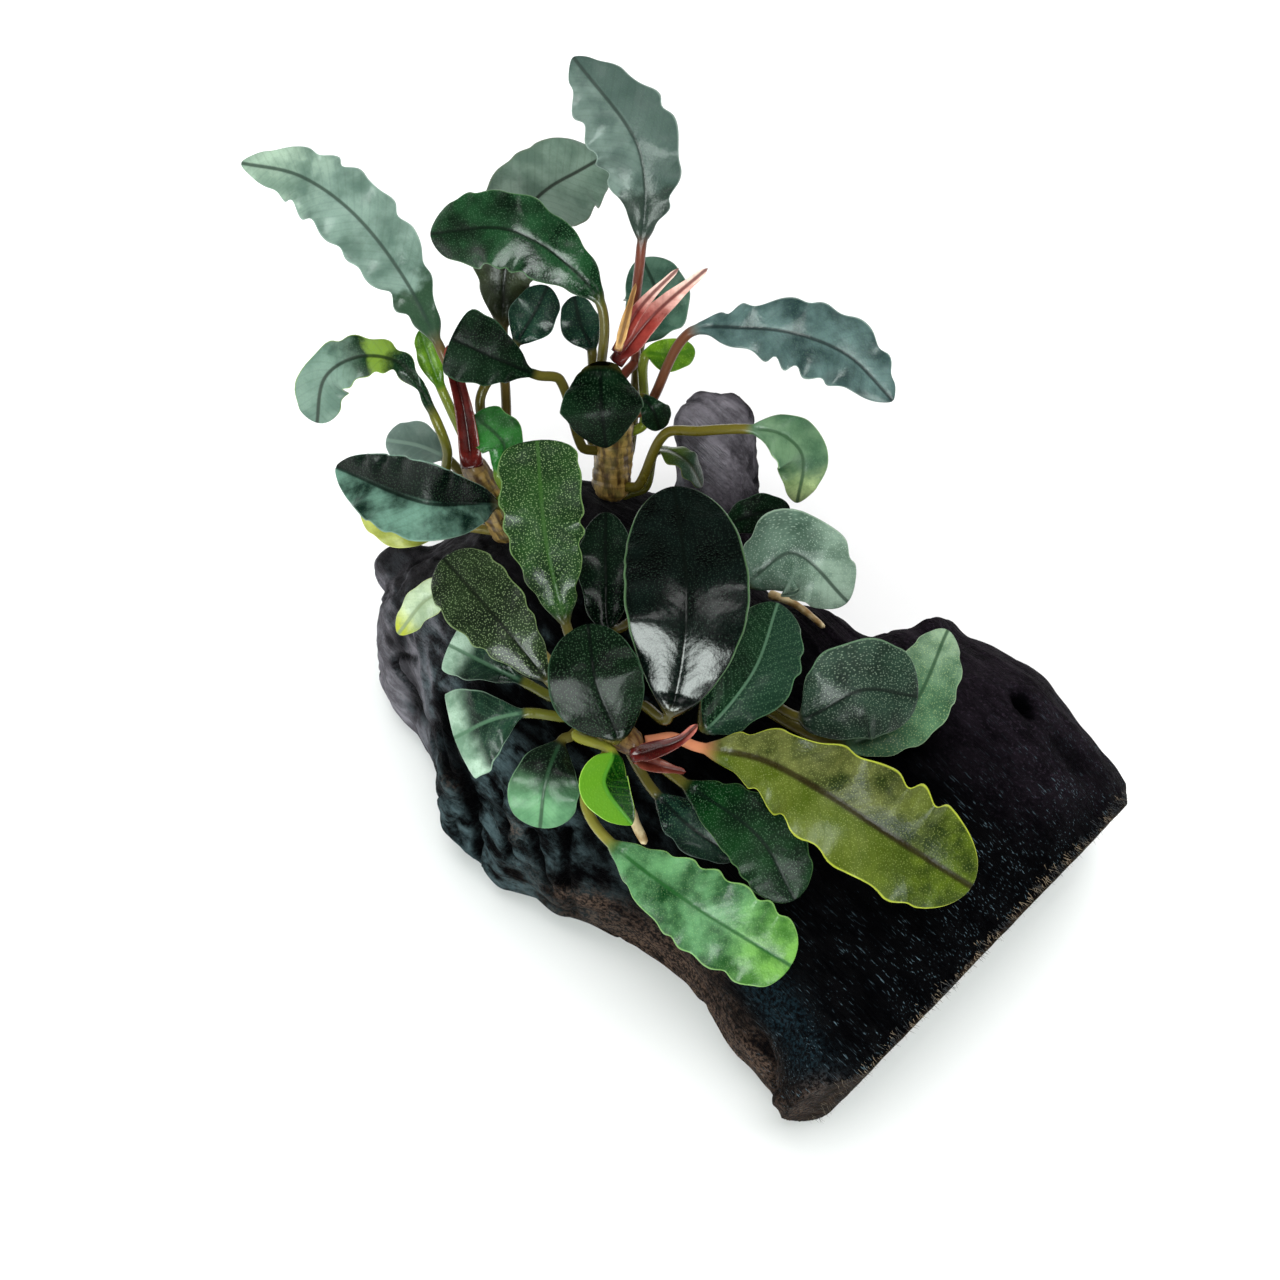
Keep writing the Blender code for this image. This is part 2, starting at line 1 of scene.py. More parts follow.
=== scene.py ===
# %% [markdown]
# # Bucephalandra on driftwood
#
# This is a small water plant that has grown onto a short, dark piece of driftwood. Thick, wavy
# leaves stand in crowns on creeping stems, which are called rhizomes. The scene loads the packed
# solids, which hold the sizes and the places, and then gives each piece its real surface.
#
# The first step is to load the solids.

# %% Load the solids
import math
import random

import bpy
import numpy as np
from mathutils import Matrix, Vector, noise
from mathutils.bvhtree import BVHTree


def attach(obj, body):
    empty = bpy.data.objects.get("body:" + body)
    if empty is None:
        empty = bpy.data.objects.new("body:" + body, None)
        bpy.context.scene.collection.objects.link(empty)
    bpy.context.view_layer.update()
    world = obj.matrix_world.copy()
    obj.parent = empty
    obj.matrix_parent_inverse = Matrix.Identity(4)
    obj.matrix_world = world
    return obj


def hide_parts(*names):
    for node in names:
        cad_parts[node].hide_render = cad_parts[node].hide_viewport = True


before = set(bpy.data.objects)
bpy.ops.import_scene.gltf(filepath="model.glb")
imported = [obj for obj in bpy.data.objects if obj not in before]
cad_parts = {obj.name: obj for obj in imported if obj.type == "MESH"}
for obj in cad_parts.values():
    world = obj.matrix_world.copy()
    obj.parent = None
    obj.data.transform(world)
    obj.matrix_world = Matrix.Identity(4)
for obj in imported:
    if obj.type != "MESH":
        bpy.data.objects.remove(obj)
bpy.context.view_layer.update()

MM = 0.001

# %% [markdown]
# ## The view and the routes
#
# A leaf is easiest to place by where it shows in a picture from the front and above. So a place
# is written as (across, down, height): its column and row in a picture of 1280 by 1280, and its
# height over the table in millimetres. The ray from the eye through that spot meets that height
# in one point. The solids were placed in the same way, so pieces made here fall onto them.

# %% Places in the front view
VIEW_ELEVATION = math.radians(55)
VIEW_DISTANCE = 460 * MM
VIEW_TARGET = Vector((0, 0, 36 * MM))
VIEW_CENTRE = 640
VIEW_STEP = 0.145 * MM
VIEW_AHEAD = Vector((0, math.cos(VIEW_ELEVATION), -math.sin(VIEW_ELEVATION)))
VIEW_UP = Vector((0, math.sin(VIEW_ELEVATION), math.cos(VIEW_ELEVATION)))
VIEW_EYE = VIEW_TARGET - VIEW_AHEAD * VIEW_DISTANCE


def view_ray(across, down):
    """The direction from the eye through a place in the picture."""
    side = Vector((1, 0, 0)) * ((across - VIEW_CENTRE) * VIEW_STEP)
    rise = VIEW_UP * ((VIEW_CENTRE - down) * VIEW_STEP)
    return VIEW_AHEAD * VIEW_DISTANCE + side + rise


def seen(across, down, height):
    """The point that shows at (across, down), height millimetres over the table."""
    ray = view_ray(across, down)
    return VIEW_EYE + ray * ((height * MM - VIEW_EYE.z) / ray.z)


trunk_tree = BVHTree.FromObject(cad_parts["driftwood_trunk"], bpy.context.evaluated_depsgraph_get())


def on_wood(across, down, lift=0.0):
    """The point of the log that shows at a place in the picture, raised off its surface."""
    hit, normal, _, _ = trunk_tree.ray_cast(VIEW_EYE, view_ray(across, down).normalized())
    return hit + normal * lift


def smooth_curve(points):
    """A smooth line through the points, by distance along them, and the distance of each point."""
    steps = [(after - before).length for before, after in zip(points, points[1:])]
    marks = [sum(steps[:i]) for i in range(len(points))]
    last = len(points) - 1
    slopes = []
    for i in range(len(points)):
        low = max(i - 1, 0)
        high = min(i + 1, last)
        slopes.append((points[high] - points[low]) / (marks[high] - marks[low]))

    def place(distance):
        i = max(j for j in range(last) if marks[j] <= distance or j == 0)
        step = steps[i]
        t = (distance - marks[i]) / step
        ease = t * t * (3 - 2 * t)
        leave = slopes[i] * (step * t * (1 - t) ** 2)
        arrive = slopes[i + 1] * (step * t * t * (t - 1))
        return points[i] * (1 - ease) + points[i + 1] * ease + leave + arrive

    return place, marks


print("the eye stands at", tuple(round(part / MM) for part in VIEW_EYE), "mm")

# %% [markdown]
# ## A flat sheet, rolled up
#
# Leaves, stems, sheaths and roots have the same build: one closed skin with a round or flat
# section that changes along its length. Each starts as a flat grid. Its columns are laid round
# the section and its rows along the length, the seam is merged and the two ends are filled.
# Every point also keeps its place on the piece in two attributes, so that the colours can
# follow the midrib and the margin however the leaf bends. The first holds the place across, from
# -1 to 1, the place along, from 0 to 1, and 1 on top or -1 below. The second holds distances in
# millimetres: from the midrib, along the piece, and along the slanting side veins. A round stem
# keeps its radius, the distance along and the angle round it there.

# %% Roll a sheet
MERGE = 0.0005 * MM
PLACE = "leaf_place"
MEASURE = "leaf_measure"


def only(piece):
    """Select one object and nothing else."""
    bpy.ops.object.select_all(action="DESELECT")
    piece.select_set(True)
    bpy.context.view_layer.objects.active = piece


def rolled_sheet(name, rows):
    """A closed piece from rows of (point, place, measure); each row ends where it began."""
    bpy.ops.object.select_all(action="DESELECT")
    bpy.ops.mesh.primitive_grid_add(x_subdivisions=len(rows[0]) - 1, y_subdivisions=len(rows) - 1,
                                    size=1, calc_uvs=False)
    piece = bpy.context.object
    piece.name = name
    mesh = piece.data
    mesh.name = name
    cells = [cell for row in rows for cell in row]
    mesh.vertices.foreach_set("co", np.array([cell[0] for cell in cells], dtype=np.float32).ravel())
    for part, attribute in ((1, PLACE), (2, MEASURE)):
        values = np.array([cell[part] for cell in cells], dtype=np.float32).ravel()
        mesh.attributes.new(attribute, "FLOAT_VECTOR", "POINT").data.foreach_set("vector", values)
    bpy.ops.object.mode_set(mode="EDIT")
    bpy.ops.mesh.select_all(action="SELECT")
    bpy.ops.mesh.remove_doubles(threshold=MERGE)
    bpy.ops.mesh.select_all(action="SELECT")
    bpy.ops.mesh.fill_holes(sides=0)
    bpy.ops.mesh.select_all(action="SELECT")
    bpy.ops.mesh.normals_make_consistent(inside=False)
    bpy.ops.object.mode_set(mode="OBJECT")
    bpy.ops.object.shade_smooth()
    return piece


def turned_section(columns):
    """The angles round a round section, closed."""
    return [2 * math.pi * i / columns for i in range(columns + 1)]


print("sheets are merged at", MERGE, "m")

# %% [markdown]
# ## A small kit for finishes
#
# A finish is a Principled shader with a few patterns in front of it. The same few steps come
# back in every one: a noise, a mix of two colours, a soft step. They are short helpers here, so
# that each finish below reads as a recipe, and the light of the room uses some of them too.
# Colours are written as they look on a screen, 0 to 255, and turned into the shader's own linear
# values.

# %% Finish helpers
WHITE = (1, 1, 1, 1)


def screen(red, green, blue_sheen):
    """A colour as it looks on a screen, as the linear colour that a shader takes."""
    shares = [channel / 255 for channel in (red, green, blue_sheen)]
    return (*[s / 12.92 if s <= 0.04045 else ((s + 0.055) / 1.055) ** 2.4 for s in shares], 1)


class Graph:
    """A tree of shader nodes that grows one call at a time."""

    def __init__(self, tree):
        self.nodes = tree.nodes
        self.links = tree.links

    def feed(self, node, values):
        """Link outputs into a node's sockets, or set the sockets' own values."""
        for socket, value in values.items():
            if isinstance(value, bpy.types.NodeSocket):
                self.links.new(value, node.inputs[socket])
            else:
                node.inputs[socket].default_value = value

    def node(self, kind, values, **settings):
        """A new node with its settings and with values for some sockets, by name or number."""
        made = self.nodes.new("ShaderNode" + kind)
        for name, setting in settings.items():
            setattr(made, name, setting)
        self.feed(made, values)
        return made

    def math(self, operation, first, second=0.0):
        """The result of one sum; some operations only use the first value."""
        return self.node("Math", {0: first, 1: second}, operation=operation).outputs[0]

    def step(self, value, low, high, from_share=0.0, to_share=1.0):
        """A soft step: from_share below low, to_share above high."""
        ends = {"Value": value, "From Min": low, "From Max": high, "To Min": from_share, "To Max": to_share}
        return self.node("MapRange", ends, interpolation_type="SMOOTHSTEP").outputs["Result"]

    def mix(self, share, first, second):
        """A colour that is the first one at a share of 0 and the second one at 1."""
        return self.node("Mix", {"Factor": share, 6: first, 7: second}, data_type="RGBA").outputs[2]


class Finish(Graph):
    """A Principled material whose patterns are added one call at a time."""

    def __init__(self, name, roughness, coat=0.0, coat_roughness=0.1, specular=0.5):
        self.material = bpy.data.materials.new(name)
        self.material.use_nodes = True
        super().__init__(self.material.node_tree)
        self.shader = self.nodes["Principled BSDF"]
        self.feed(self.shader, {"Roughness": roughness, "Coat Weight": coat,
                                "Coat Roughness": coat_roughness, "Specular IOR Level": specular})

    def place(self, scale=(1, 1, 1), turn=0.0, shift=(0, 0, 0)):
        """Object coordinates, moved by shift, turned about Z and then scaled."""
        coordinates = self.node("TexCoord", {}).outputs["Object"]
        values = {"Vector": coordinates, "Rotation": (0, 0, turn), "Location": shift, "Scale": scale}
        return self.node("Mapping", values, vector_type="TEXTURE").outputs["Vector"]

    def noise(self, where, scale, detail=3.0, roughness=0.5):
        values = {"Vector": where, "Scale": scale, "Detail": detail, "Roughness": roughness}
        return self.node("TexNoise", values).outputs["Fac"]

    def pair(self, across, along):
        """Two values as a flat place."""
        return self.node("CombineXYZ", {0: across, 1: along}).outputs[0]

    def flat_cells(self, across, along, scale):
        """The distance to the nearest of many scattered dots, on a flat pair of coordinates."""
        values = {"Vector": self.pair(across, along), "Scale": scale}
        return self.node("TexVoronoi", values, voronoi_dimensions="2D").outputs["Distance"]

    def length(self, where):
        """The distance of a place from its own origin."""
        return self.node("VectorMath", {0: where}, operation="LENGTH").outputs["Value"]

    def attribute(self, name):
        """The three parts of a vector attribute."""
        source = self.node("Attribute", {}, attribute_name=name)
        return self.node("SeparateXYZ", {0: source.outputs["Vector"]}).outputs

    def bump(self, height, distance, strength=1.0, under=None):
        """A bumped normal, over another one where that is given."""
        values = {"Strength": strength, "Distance": distance, "Height": height}
        if under is not None:
            values["Normal"] = under
        return self.node("Bump", values).outputs["Normal"]

    def done(self, colour, roughness=None, normal=None):
        """The finished material."""
        values = {"Base Color": colour, "Roughness": roughness, "Normal": normal}
        self.feed(self.shader, {name: value for name, value in values.items() if value is not None})
        return self.material


def dress(piece, material):
    """Give a piece one material."""
    piece.data.materials.clear()
    piece.data.materials.append(material)


def keep_piece(piece, material, slot, *nodes):
    """Dress a finished piece; it rides on the root and stands for its solids. The slot is not used."""
    dress(piece, material)
    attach(piece, "root")
    if nodes:
        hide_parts(*nodes)


print("a mid grey on the screen is", round(screen(128, 128, 128)[0], 3), "in linear light")

# %% [markdown]
# ## The driftwood: one old root
#
# The wood is a short length of an old root, nearly black from the water, with a saw cut at one
# end and two stubs where it once forked. The solids keep the log and the stubs apart, but the
# real wood is one piece. So copies of the three are joined, the stubs are made a little fatter
# to close the gap at each fork, and a voxel remesh welds them into one even skin. That skin is
# then fine enough to be carved point by point.

# %% Weld the wood
WOOD_NODES = ("driftwood_trunk", "driftwood_back_knob", "driftwood_left_spur")
WOOD_VOXEL = 0.6 * MM
FORK_OVERLAP = 0.6 * MM
SEAM = 0.001 * MM
WOOD_HEADING = math.radians(131)
WOOD_LENGTH_BEFORE_ORIGIN = 65.5 * MM
# The saw cut isn't square to the log: it runs on by these shares, across it and upwards.
CUT_SKEW = 0.12
CUT_LEAN = 0.29
CUT_MIDDLE_ACROSS = 7.6 * MM
CUT_MIDDLE_HEIGHT = 24 * MM
GRAIN = Vector((math.cos(WOOD_HEADING), math.sin(WOOD_HEADING), 0))
ASIDE = Vector((math.sin(WOOD_HEADING), -math.cos(WOOD_HEADING), 0))


def wood_copy(node, grow):
    """A loose copy of one solid of the wood, grown by a distance."""
    piece = bpy.data.objects.new(node + "_copy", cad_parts[node].data.copy())
    bpy.context.scene.collection.objects.link(piece)
    only(piece)
    bpy.ops.object.mode_set(mode="EDIT")
    bpy.ops.mesh.select_all(action="SELECT")
    bpy.ops.mesh.remove_doubles(threshold=SEAM)
    bpy.ops.transform.shrink_fatten(value=grow)
    bpy.ops.object.mode_set(mode="OBJECT")
    return piece


def welded_wood():
    """The log and its two stubs as one skin of small even faces."""
    copies = [wood_copy(node, 0 if node == "driftwood_trunk" else FORK_OVERLAP) for node in WOOD_NODES]
    only(copies[0])
    for piece in copies[1:]:
        piece.select_set(True)
    bpy.ops.object.join()
    wood = bpy.context.object
    wood.name = "driftwood"
    wood.data.name = "driftwood"
    wood.data.remesh_voxel_size = WOOD_VOXEL
    bpy.ops.object.voxel_remesh()
    return wood


driftwood = welded_wood()
wood_tree = BVHTree.FromObject(driftwood, bpy.context.evaluated_depsgraph_get())
print("the welded wood has", len(driftwood.data.vertices), "points")

# %% [markdown]
# ## Carve the wood
#
# Water and time wear the soft wood away between the fibres, so the surface is ridged along the
# grain, cracked here and there, and folded where the root bent. The point's own place along and
# across the log drives noise that is long along the grain and short across it. The folds at the
# bend and the small pit are set one by one, each as a short line between two places of the front
# view. The flat underside stays as it is, because the wood stands on it.

# %% Carve along the grain
# Folds and hollows: (start place, end place, half width, depth), the last two in millimetres.
FOLDS = (
    ((440, 700), (452, 760), 1.8, 1.6),
    ((462, 772), (472, 806), 1.0, 1.8),
    ((470, 808), (486, 866), 0.8, 2.4),
    ((500, 796), (508, 856), 0.7, 2.2),
    ((530, 836), (546, 888), 0.9, 2.6),
    ((567, 832), (566, 888), 0.7, 2.2),
    ((398, 640), (414, 700), 2.6, 1.0),
    ((412, 706), (426, 762), 1.6, 1.2),
    ((428, 790), (446, 836), 1.3, 1.4),
    ((760, 1040), (772, 1064), 1.2, 1.0),
    ((776, 1082), (782, 1104), 1.2, 1.2),
    ((1021, 695), (1023, 699), 1.3, 2.6),
    ((1026, 706), (1030, 712), 1.3, 1.2),
    ((985, 742), (1003, 765), 2.6, 0.6),
    ((1064, 742), (1080, 764), 2.6, 0.9),
    ((905, 1040), (925, 1000), 2.5, 0.5),
)
# Swellings, in the same terms, with the height in place of the depth.
KNUCKLES = (
    ((484, 858), (474, 846), 2.0, 1.0),
    ((790, 1112), (800, 1120), 2.2, 0.8),
    ((748, 1046), (752, 1060), 2.4, 0.7),
    ((585, 896), (560, 880), 2.0, 0.7),
    ((932, 622), (945, 620), 2.4, 1.2),
    ((1062, 790), (1048, 835), 3.5, 0.8),
    ((420, 760), (430, 790), 4.0, 0.9),
)
# The edge of the wood is taken at this height, in millimetres, where a place lies beside it.
EDGE_HEIGHT = 22
# Smoothing stays this far off the saw cut and the underside.
OFF_CUT = 2.5 * MM
OFF_UNDERSIDE = 1.5 * MM
SMOOTHING_ROUNDS = 24
# Kinds of relief: size along, across and up in millimetres, and a shift in the noise.
LUMPS = ((17, 13, 12), 5.1)
RIDGES = ((24, 3.1, 3.1), 11.3)
FIBRES = ((9, 1.5, 1.5), 3.7)
CRACKS = ((30, 6.5, 6.5), 23.9)
PITS = ((4.5, 3.2, 3.2), 41.0)
CRACK_WIDTH = 0.035
# The sharp left corner of the saw cut is worn round.
CORNER_FROM = 17 * MM
CORNER_TO = 27 * MM
CORNER_WORN = 4.5 * MM
# A cut of this depth, in millimetres, gets the full painted shade of a crevice.
CREVICE_SHADE_DEPTH = 1.2


def points_of(mesh, name="co"):
    """The coordinates of a mesh as an array, in metres."""
    values = np.empty(len(mesh.vertices) * 3, dtype=np.float32)
    mesh.vertices.foreach_get(name, values)
    return values.reshape(-1, 3).astype(np.float64)


def relief(places, size, shift):
    """Smooth noise of one kind, from about -1 to 1, at each row of places in millimetres."""
    return np.array([noise.noise(row) for row in (places / size + shift).tolist()])


def log_terms(points):
    """Each point's distance from the saw cut, along the log and across it."""
    along = points @ np.array(GRAIN) + WOOD_LENGTH_BEFORE_ORIGIN
    across = points @ np.array(ASIDE)
    cut = CUT_SKEW * (across - CUT_MIDDLE_ACROSS) - CUT_LEAN * (points[:, 2] - CUT_MIDDLE_HEIGHT)
    return along - cut, along, across


def wood_spot(across, down):
    """The point of the welded wood at a place in the picture, or the nearest one to it."""
    hit = wood_tree.ray_cast(VIEW_EYE, view_ray(across, down).normalized())[0]
    if hit is None:
        hit = wood_tree.find_nearest(seen(across, down, EDGE_HEIGHT))[0]
    return np.array(hit)


def nearness(points, start, end, size):
    """1 on the line between two places of the wood, falling off over size."""
    first, last = wood_spot(*start), wood_spot(*end)
    line = last - first
    share = np.clip((points - first) @ line / (line @ line), 0, 1)
    away = np.linalg.norm(points - first - share[:, None] * line, axis=1)
    return np.exp(-((away / size) ** 2))


def soft(values, low, high):
    """0 below low and 1 above high, with a soft step between."""
    share = np.clip((values - low) / (high - low), 0, 1)
    return share * share * (3 - 2 * share)


def smooth_wood(wood):
    """Round off the solids' facets, but not the saw cut or the underside."""
    points = points_of(wood.data)
    from_cut, _, _ = log_terms(points)
    keep = (from_cut > OFF_CUT) & (points[:, 2] > OFF_UNDERSIDE)
    only(wood)
    bpy.ops.object.mode_set(mode="EDIT")
    bpy.ops.mesh.select_mode(type="VERT")
    bpy.ops.mesh.select_all(action="DESELECT")
    bpy.ops.object.mode_set(mode="OBJECT")
    wood.data.vertices.foreach_set("select", keep)
    bpy.ops.object.mode_set(mode="EDIT")
    bpy.ops.mesh.vertices_smooth(factor=0.5, repeat=SMOOTHING_ROUNDS)
    bpy.ops.object.mode_set(mode="OBJECT")


def carve_wood(wood):
    """Move each point in or out by the ridges, cracks, folds and knuckles; give the crevices' painted shade.
    """
    points = points_of(wood.data)
    normals = points_of(wood.data, "normal")
    from_cut, along, across = log_terms(points)
    height = points[:, 2]
    grain_wise = np.stack((along, across, height), axis=1) / MM
    lumps = relief(grain_wise, *LUMPS)
    ridges = 1 - 2 * np.abs(relief(grain_wise, *RIDGES))
    fibres = relief(grain_wise, *FIBRES)
    cracks = np.exp(-((relief(grain_wise, *CRACKS) / CRACK_WIDTH) ** 2))
    pits = relief(grain_wise, *PITS)
    weathered = 0.45 + 0.55 * soft(along, 38 * MM, 58 * MM)
    wall = soft(-normals[:, 2], -0.75, -0.2)
    lift = 0.75 * lumps + (0.34 * ridges + 0.24 * fibres) * weathered + (0.2 + 0.25 * wall) * pits
    sunk = 0.55 * cracks * weathered * (0.5 + wall)
    for start, end, size, depth in FOLDS:
        sunk += depth * nearness(points, start, end, size * MM)
    lift -= sunk
    for start, end, size, rise in KNUCKLES:
        lift += rise * nearness(points, start, end, size * MM)
    fade = soft(height, 0.6 * MM, 4 * MM) * (0.25 + 0.75 * soft(from_cut, 0.5 * MM, 3 * MM))
    points += normals * (lift * fade * MM)[:, None]
    corner = soft(-across, CORNER_FROM, CORNER_TO) * (1 - soft(from_cut, 0, 12 * MM))
    points += np.array(GRAIN) * (CORNER_WORN * corner)[:, None]
    points[:, 2] = np.maximum(points[:, 2], 0)
    wood.data.vertices.foreach_set("co", points.astype(np.float32).ravel())
    wood.data.update()
    return np.clip(sunk * fade / CREVICE_SHADE_DEPTH, 0, 1)


smooth_wood(driftwood)
crevice_shade = carve_wood(driftwood)
print("points in crevices:", int((crevice_shade > 0.5).sum()))

# %% [markdown]
# ## The colours of the wood
#
# Wet driftwood looks black, but it holds many weak colours: rust where iron has stained it, and
# brown low down where the wall is rubbed beside the cut, with a blue powder above it. The saw cut
# shows faint yearly rings, and short pale flecks show near the cut. Light is painted on as well: a
# blue-grey sheen along the left wall, a purple-grey highlight on the right of the top, and pale
# grey light on the steep far end and the knob; the crevices are painted black as shade. Where each
# of these lies is worked out for each point of the skin and kept in three attributes. The finish
# then breaks the soft areas up with noise that is long along the grain.

# %% Map the colours onto the wood
# Stains and the painted pale light on the knob: (place, half width in millimetres).
RUST = (
    ((1008, 818), 2.6), ((1048, 776), 1.8), ((1054, 796), 1.6), ((1086, 826), 2.0), ((985, 776), 1.5),
    ((1092, 842), 1.6), ((1012, 868), 1.4), ((1060, 706), 2.0), ((742, 404), 6.0), ((752, 392), 4.5),
    ((664, 962), 3.6), ((684, 984), 3.0), ((780, 1092), 1.6), ((640, 938), 2.0), ((706, 1006), 2.2),
)
RUBBED = (
    ((478, 866), 1.8), ((586, 902), 2.2), ((560, 893), 1.6), ((664, 966), 3.6), ((722, 1020), 3.0),
    ((790, 1120), 3.6), ((826, 1108), 3.0), ((448, 780), 1.6), ((600, 905), 2.5),
)
POWDER = (((770, 1000), 3.4), ((790, 1026), 3.4), ((806, 1056), 3.0), ((826, 1092), 3.4), ((752, 978), 2.6))
# The knob's pale grey is painted light, where light from behind catches it.
KNOB_PAINTED_LIGHT = (((716, 448), 7.5), ((705, 412), 6.0))
# The saw cut shows yearly rings, flattened like the log; the pith is their middle.
RING_SPACING = 1.7 * MM
RING_SHAPE = (1000, 1.9, 1)
PITH = tuple(ASIDE * CUT_MIDDLE_ACROSS + Vector((0, 0, 13 * MM)))


def stain_and_light_marks(points, places):
    """How strongly round marks at some places of the front view mark each point: stains, and the painted pale
    light on the knob.
    """
    shares = [nearness(points, place, (place[0] + 1, place[1]), size * MM) for place, size in places]
    return np.clip(sum(shares), 0, 1)


def map_wood_colours(wood):
    """Keep where the stains, the saw cut, the painted sheen, highlight and pale light, the flecks and the
    painted shade of the crevices lie.
    """
    points = points_of(wood.data)
    normals = points_of(wood.data, "normal")
    from_cut, along, across = log_terms(points)
    to_cut = -(normals @ np.array(GRAIN))
    cut = soft(to_cut, 0.55, 0.8) * (1 - soft(from_cut, 1.5 * MM, 3 * MM))
    left_wall = soft(-(normals @ np.array(ASIDE)), 0.15, 0.75)
    near_cut = 1 - soft(along, 34 * MM, 66 * MM)
    # Painted sheen: the left wall away from the cut is tinted blue-grey, as a reflection of the light.
    blue_sheen = left_wall * (1 - near_cut) * (1 - 0.6 * soft(along, 84 * MM, 100 * MM))
    low_down = 1 - soft(points[:, 2], 9 * MM, 19 * MM)
    rubbed = np.maximum(stain_and_light_marks(points, RUBBED), left_wall * near_cut * low_down)
    # Painted highlight: a purple-grey sheen on the right of the top.
    purple_highlight = soft(across, 16 * MM, 34 * MM) * soft(along, 2 * MM, 14 * MM) * (1 - left_wall)
    # Painted light: the steep faces of the far end, most where they turn left, and the knob are lit pale
    # grey.
    steep = 1 - 0.85 * soft(normals[:, 2], 0.25, 0.8)
    to_left = 0.3 + 0.7 * soft(-normals[:, 0], 0.0, 0.7)
    pale_far_light = soft(along, 74 * MM, 96 * MM) * steep * to_left
    pale_far_light = np.maximum(pale_far_light, stain_and_light_marks(points, KNOB_PAINTED_LIGHT))
    flecked = 1 - soft(from_cut, 2 * MM, 34 * MM)
    layers = (
        ("wood_stain", (stain_and_light_marks(points, RUST), rubbed, cut)),
        ("wood_painted_light", (blue_sheen, purple_highlight, pale_far_light)),
        ("wood_wear_and_shade", (flecked, crevice_shade, stain_and_light_marks(points, POWDER))),
    )
    for name, parts in layers:
        values = np.stack(parts, axis=1).astype(np.float32)
        wood.data.attributes.new(name, "FLOAT_VECTOR", "POINT").data.foreach_set("vector", values.ravel())


def grain_place(made, length, width):
    """A place measured in steps of a length along the grain and a width across it, in millimetres."""
    return made.place(scale=(length * MM, width * MM, width * MM), turn=WOOD_HEADING)


def end_grain(made, grains, patches):
    """The face of the saw cut: dark brown, with rings that wander round the pith."""
    from_pith = made.length(made.place(scale=RING_SHAPE, turn=WOOD_HEADING, shift=PITH))
    wandering = made.math("ADD", from_pith, made.math("MULTIPLY", patches, 1.6 * MM))
    rings = made.math("SINE", made.math("MULTIPLY", wandering, 2 * math.pi / RING_SPACING))
    colour = made.mix(made.step(rings, -0.7, 0.9), screen(24, 18, 15), screen(50, 38, 30))
    return made.mix(made.step(grains, 0.4, 0.65), colour, screen(36, 28, 23))


def wood_bumps(made, fibres, patches, flecks, grains):
    """The relief that is too fine for the skin's points, from the coarsest to the finest."""
    coarse = made.bump(made.step(fibres, 0.35, 0.68), 0.5 * MM, strength=0.9)
    lumpy = made.bump(patches, 0.6 * MM, strength=0.55, under=coarse)
    fine = made.bump(flecks, 0.12 * MM, strength=0.4, under=lumpy)
    return made.bump(grains, 0.2 * MM, strength=0.6, under=fine)


def wood_finish():
    made = Finish("wet_black_driftwood", roughness=0.75, specular=0.03)
    rust, rubbed, cut = made.attribute("wood_stain")
    blue_sheen, purple_highlight, pale_far_light = made.attribute("wood_painted_light")
    flecked, crevice_darkening, powder = made.attribute("wood_wear_and_shade")
    fibres = made.noise(grain_place(made, 10, 0.9), 1, detail=5, roughness=0.65)
    patches = made.noise(grain_place(made, 6, 3.5), 1, detail=6, roughness=0.7)
    flecks = made.noise(grain_place(made, 2.2, 0.2), 1, detail=2)
    grains = made.noise(made.place(), 1900, detail=4, roughness=0.65)
    speckle = made.step(grains, 0.42, 0.6)
    rim = made.mix(speckle, screen(24, 20, 19), screen(92, 74, 63))
    rusty = made.mix(speckle, screen(84, 42, 30), screen(150, 88, 60))
    strewn = made.math("MULTIPLY", made.step(flecks, 0.62, 0.7), made.step(flecked, 0, 1, 0.03, 0.75))
    # From the lowest layer up: (where, pattern, tone, low, high, least, most). The pattern lets the
    # least of the tone through below low and the most of it above high.
    layers = (
        # The purple, blue and grey layers are painted light: a highlight, a sheen and pale light on the far
        # end.
        (purple_highlight, patches, screen(26, 21, 27), 0.36, 0.62, 0.3, 1.0),
        (purple_highlight, grains, screen(52, 44, 54), 0.52, 0.68, 0.0, 0.6),
        (blue_sheen, patches, screen(76, 94, 98), 0.4, 0.68, 0.0, 1.0),
        (pale_far_light, patches, screen(136, 132, 140), 0.34, 0.66, 0.3, 0.95),
        (powder, grains, screen(26, 44, 52), 0.4, 0.66, 0.0, 0.85),
        (rubbed, patches, rim, 0.3, 0.54, 0.1, 0.9),
        (rust, patches, rusty, 0.36, 0.58, 0.0, 0.85),
        (strewn, patches, screen(92, 112, 122), 0.4, 0.6, 0.05, 1.0),
    )
    colour = made.mix(made.step(patches, 0.35, 0.65), screen(1, 1, 2), screen(5, 5, 6))
    for where, pattern, tone, low, high, least, most in layers:
        share = made.math("MULTIPLY", where, made.step(pattern, low, high, least, most))
        colour = made.mix(share, colour, tone)
    colour = made.mix(cut, colour, end_grain(made, grains, patches))
    # Painted shade: the crevices are darkened to near black.
    colour = made.mix(made.math("MULTIPLY", crevice_darkening, 0.95), colour, screen(1, 1, 2))
    roughness = made.step(fibres, 0.3, 0.7, 0.6, 0.9)
    return made.done(colour, roughness, wood_bumps(made, fibres, patches, flecks, grains))


map_wood_colours(driftwood)
bpy.ops.object.shade_smooth()
keep_piece(driftwood, wood_finish(), "driftwood", *WOOD_NODES)
print("driftwood from", [round(v / MM, 1) for v in driftwood.bound_box[0]])

# %% [markdown]
# ## Splinters along the saw cut
#
# A saw leaves short torn fibres on the edge of wet wood. They are far too thin for the solids.
# Each is a sliver of three sides and a point, set on the skin near the edge and lying along the
# grain, and all of them are one mesh.

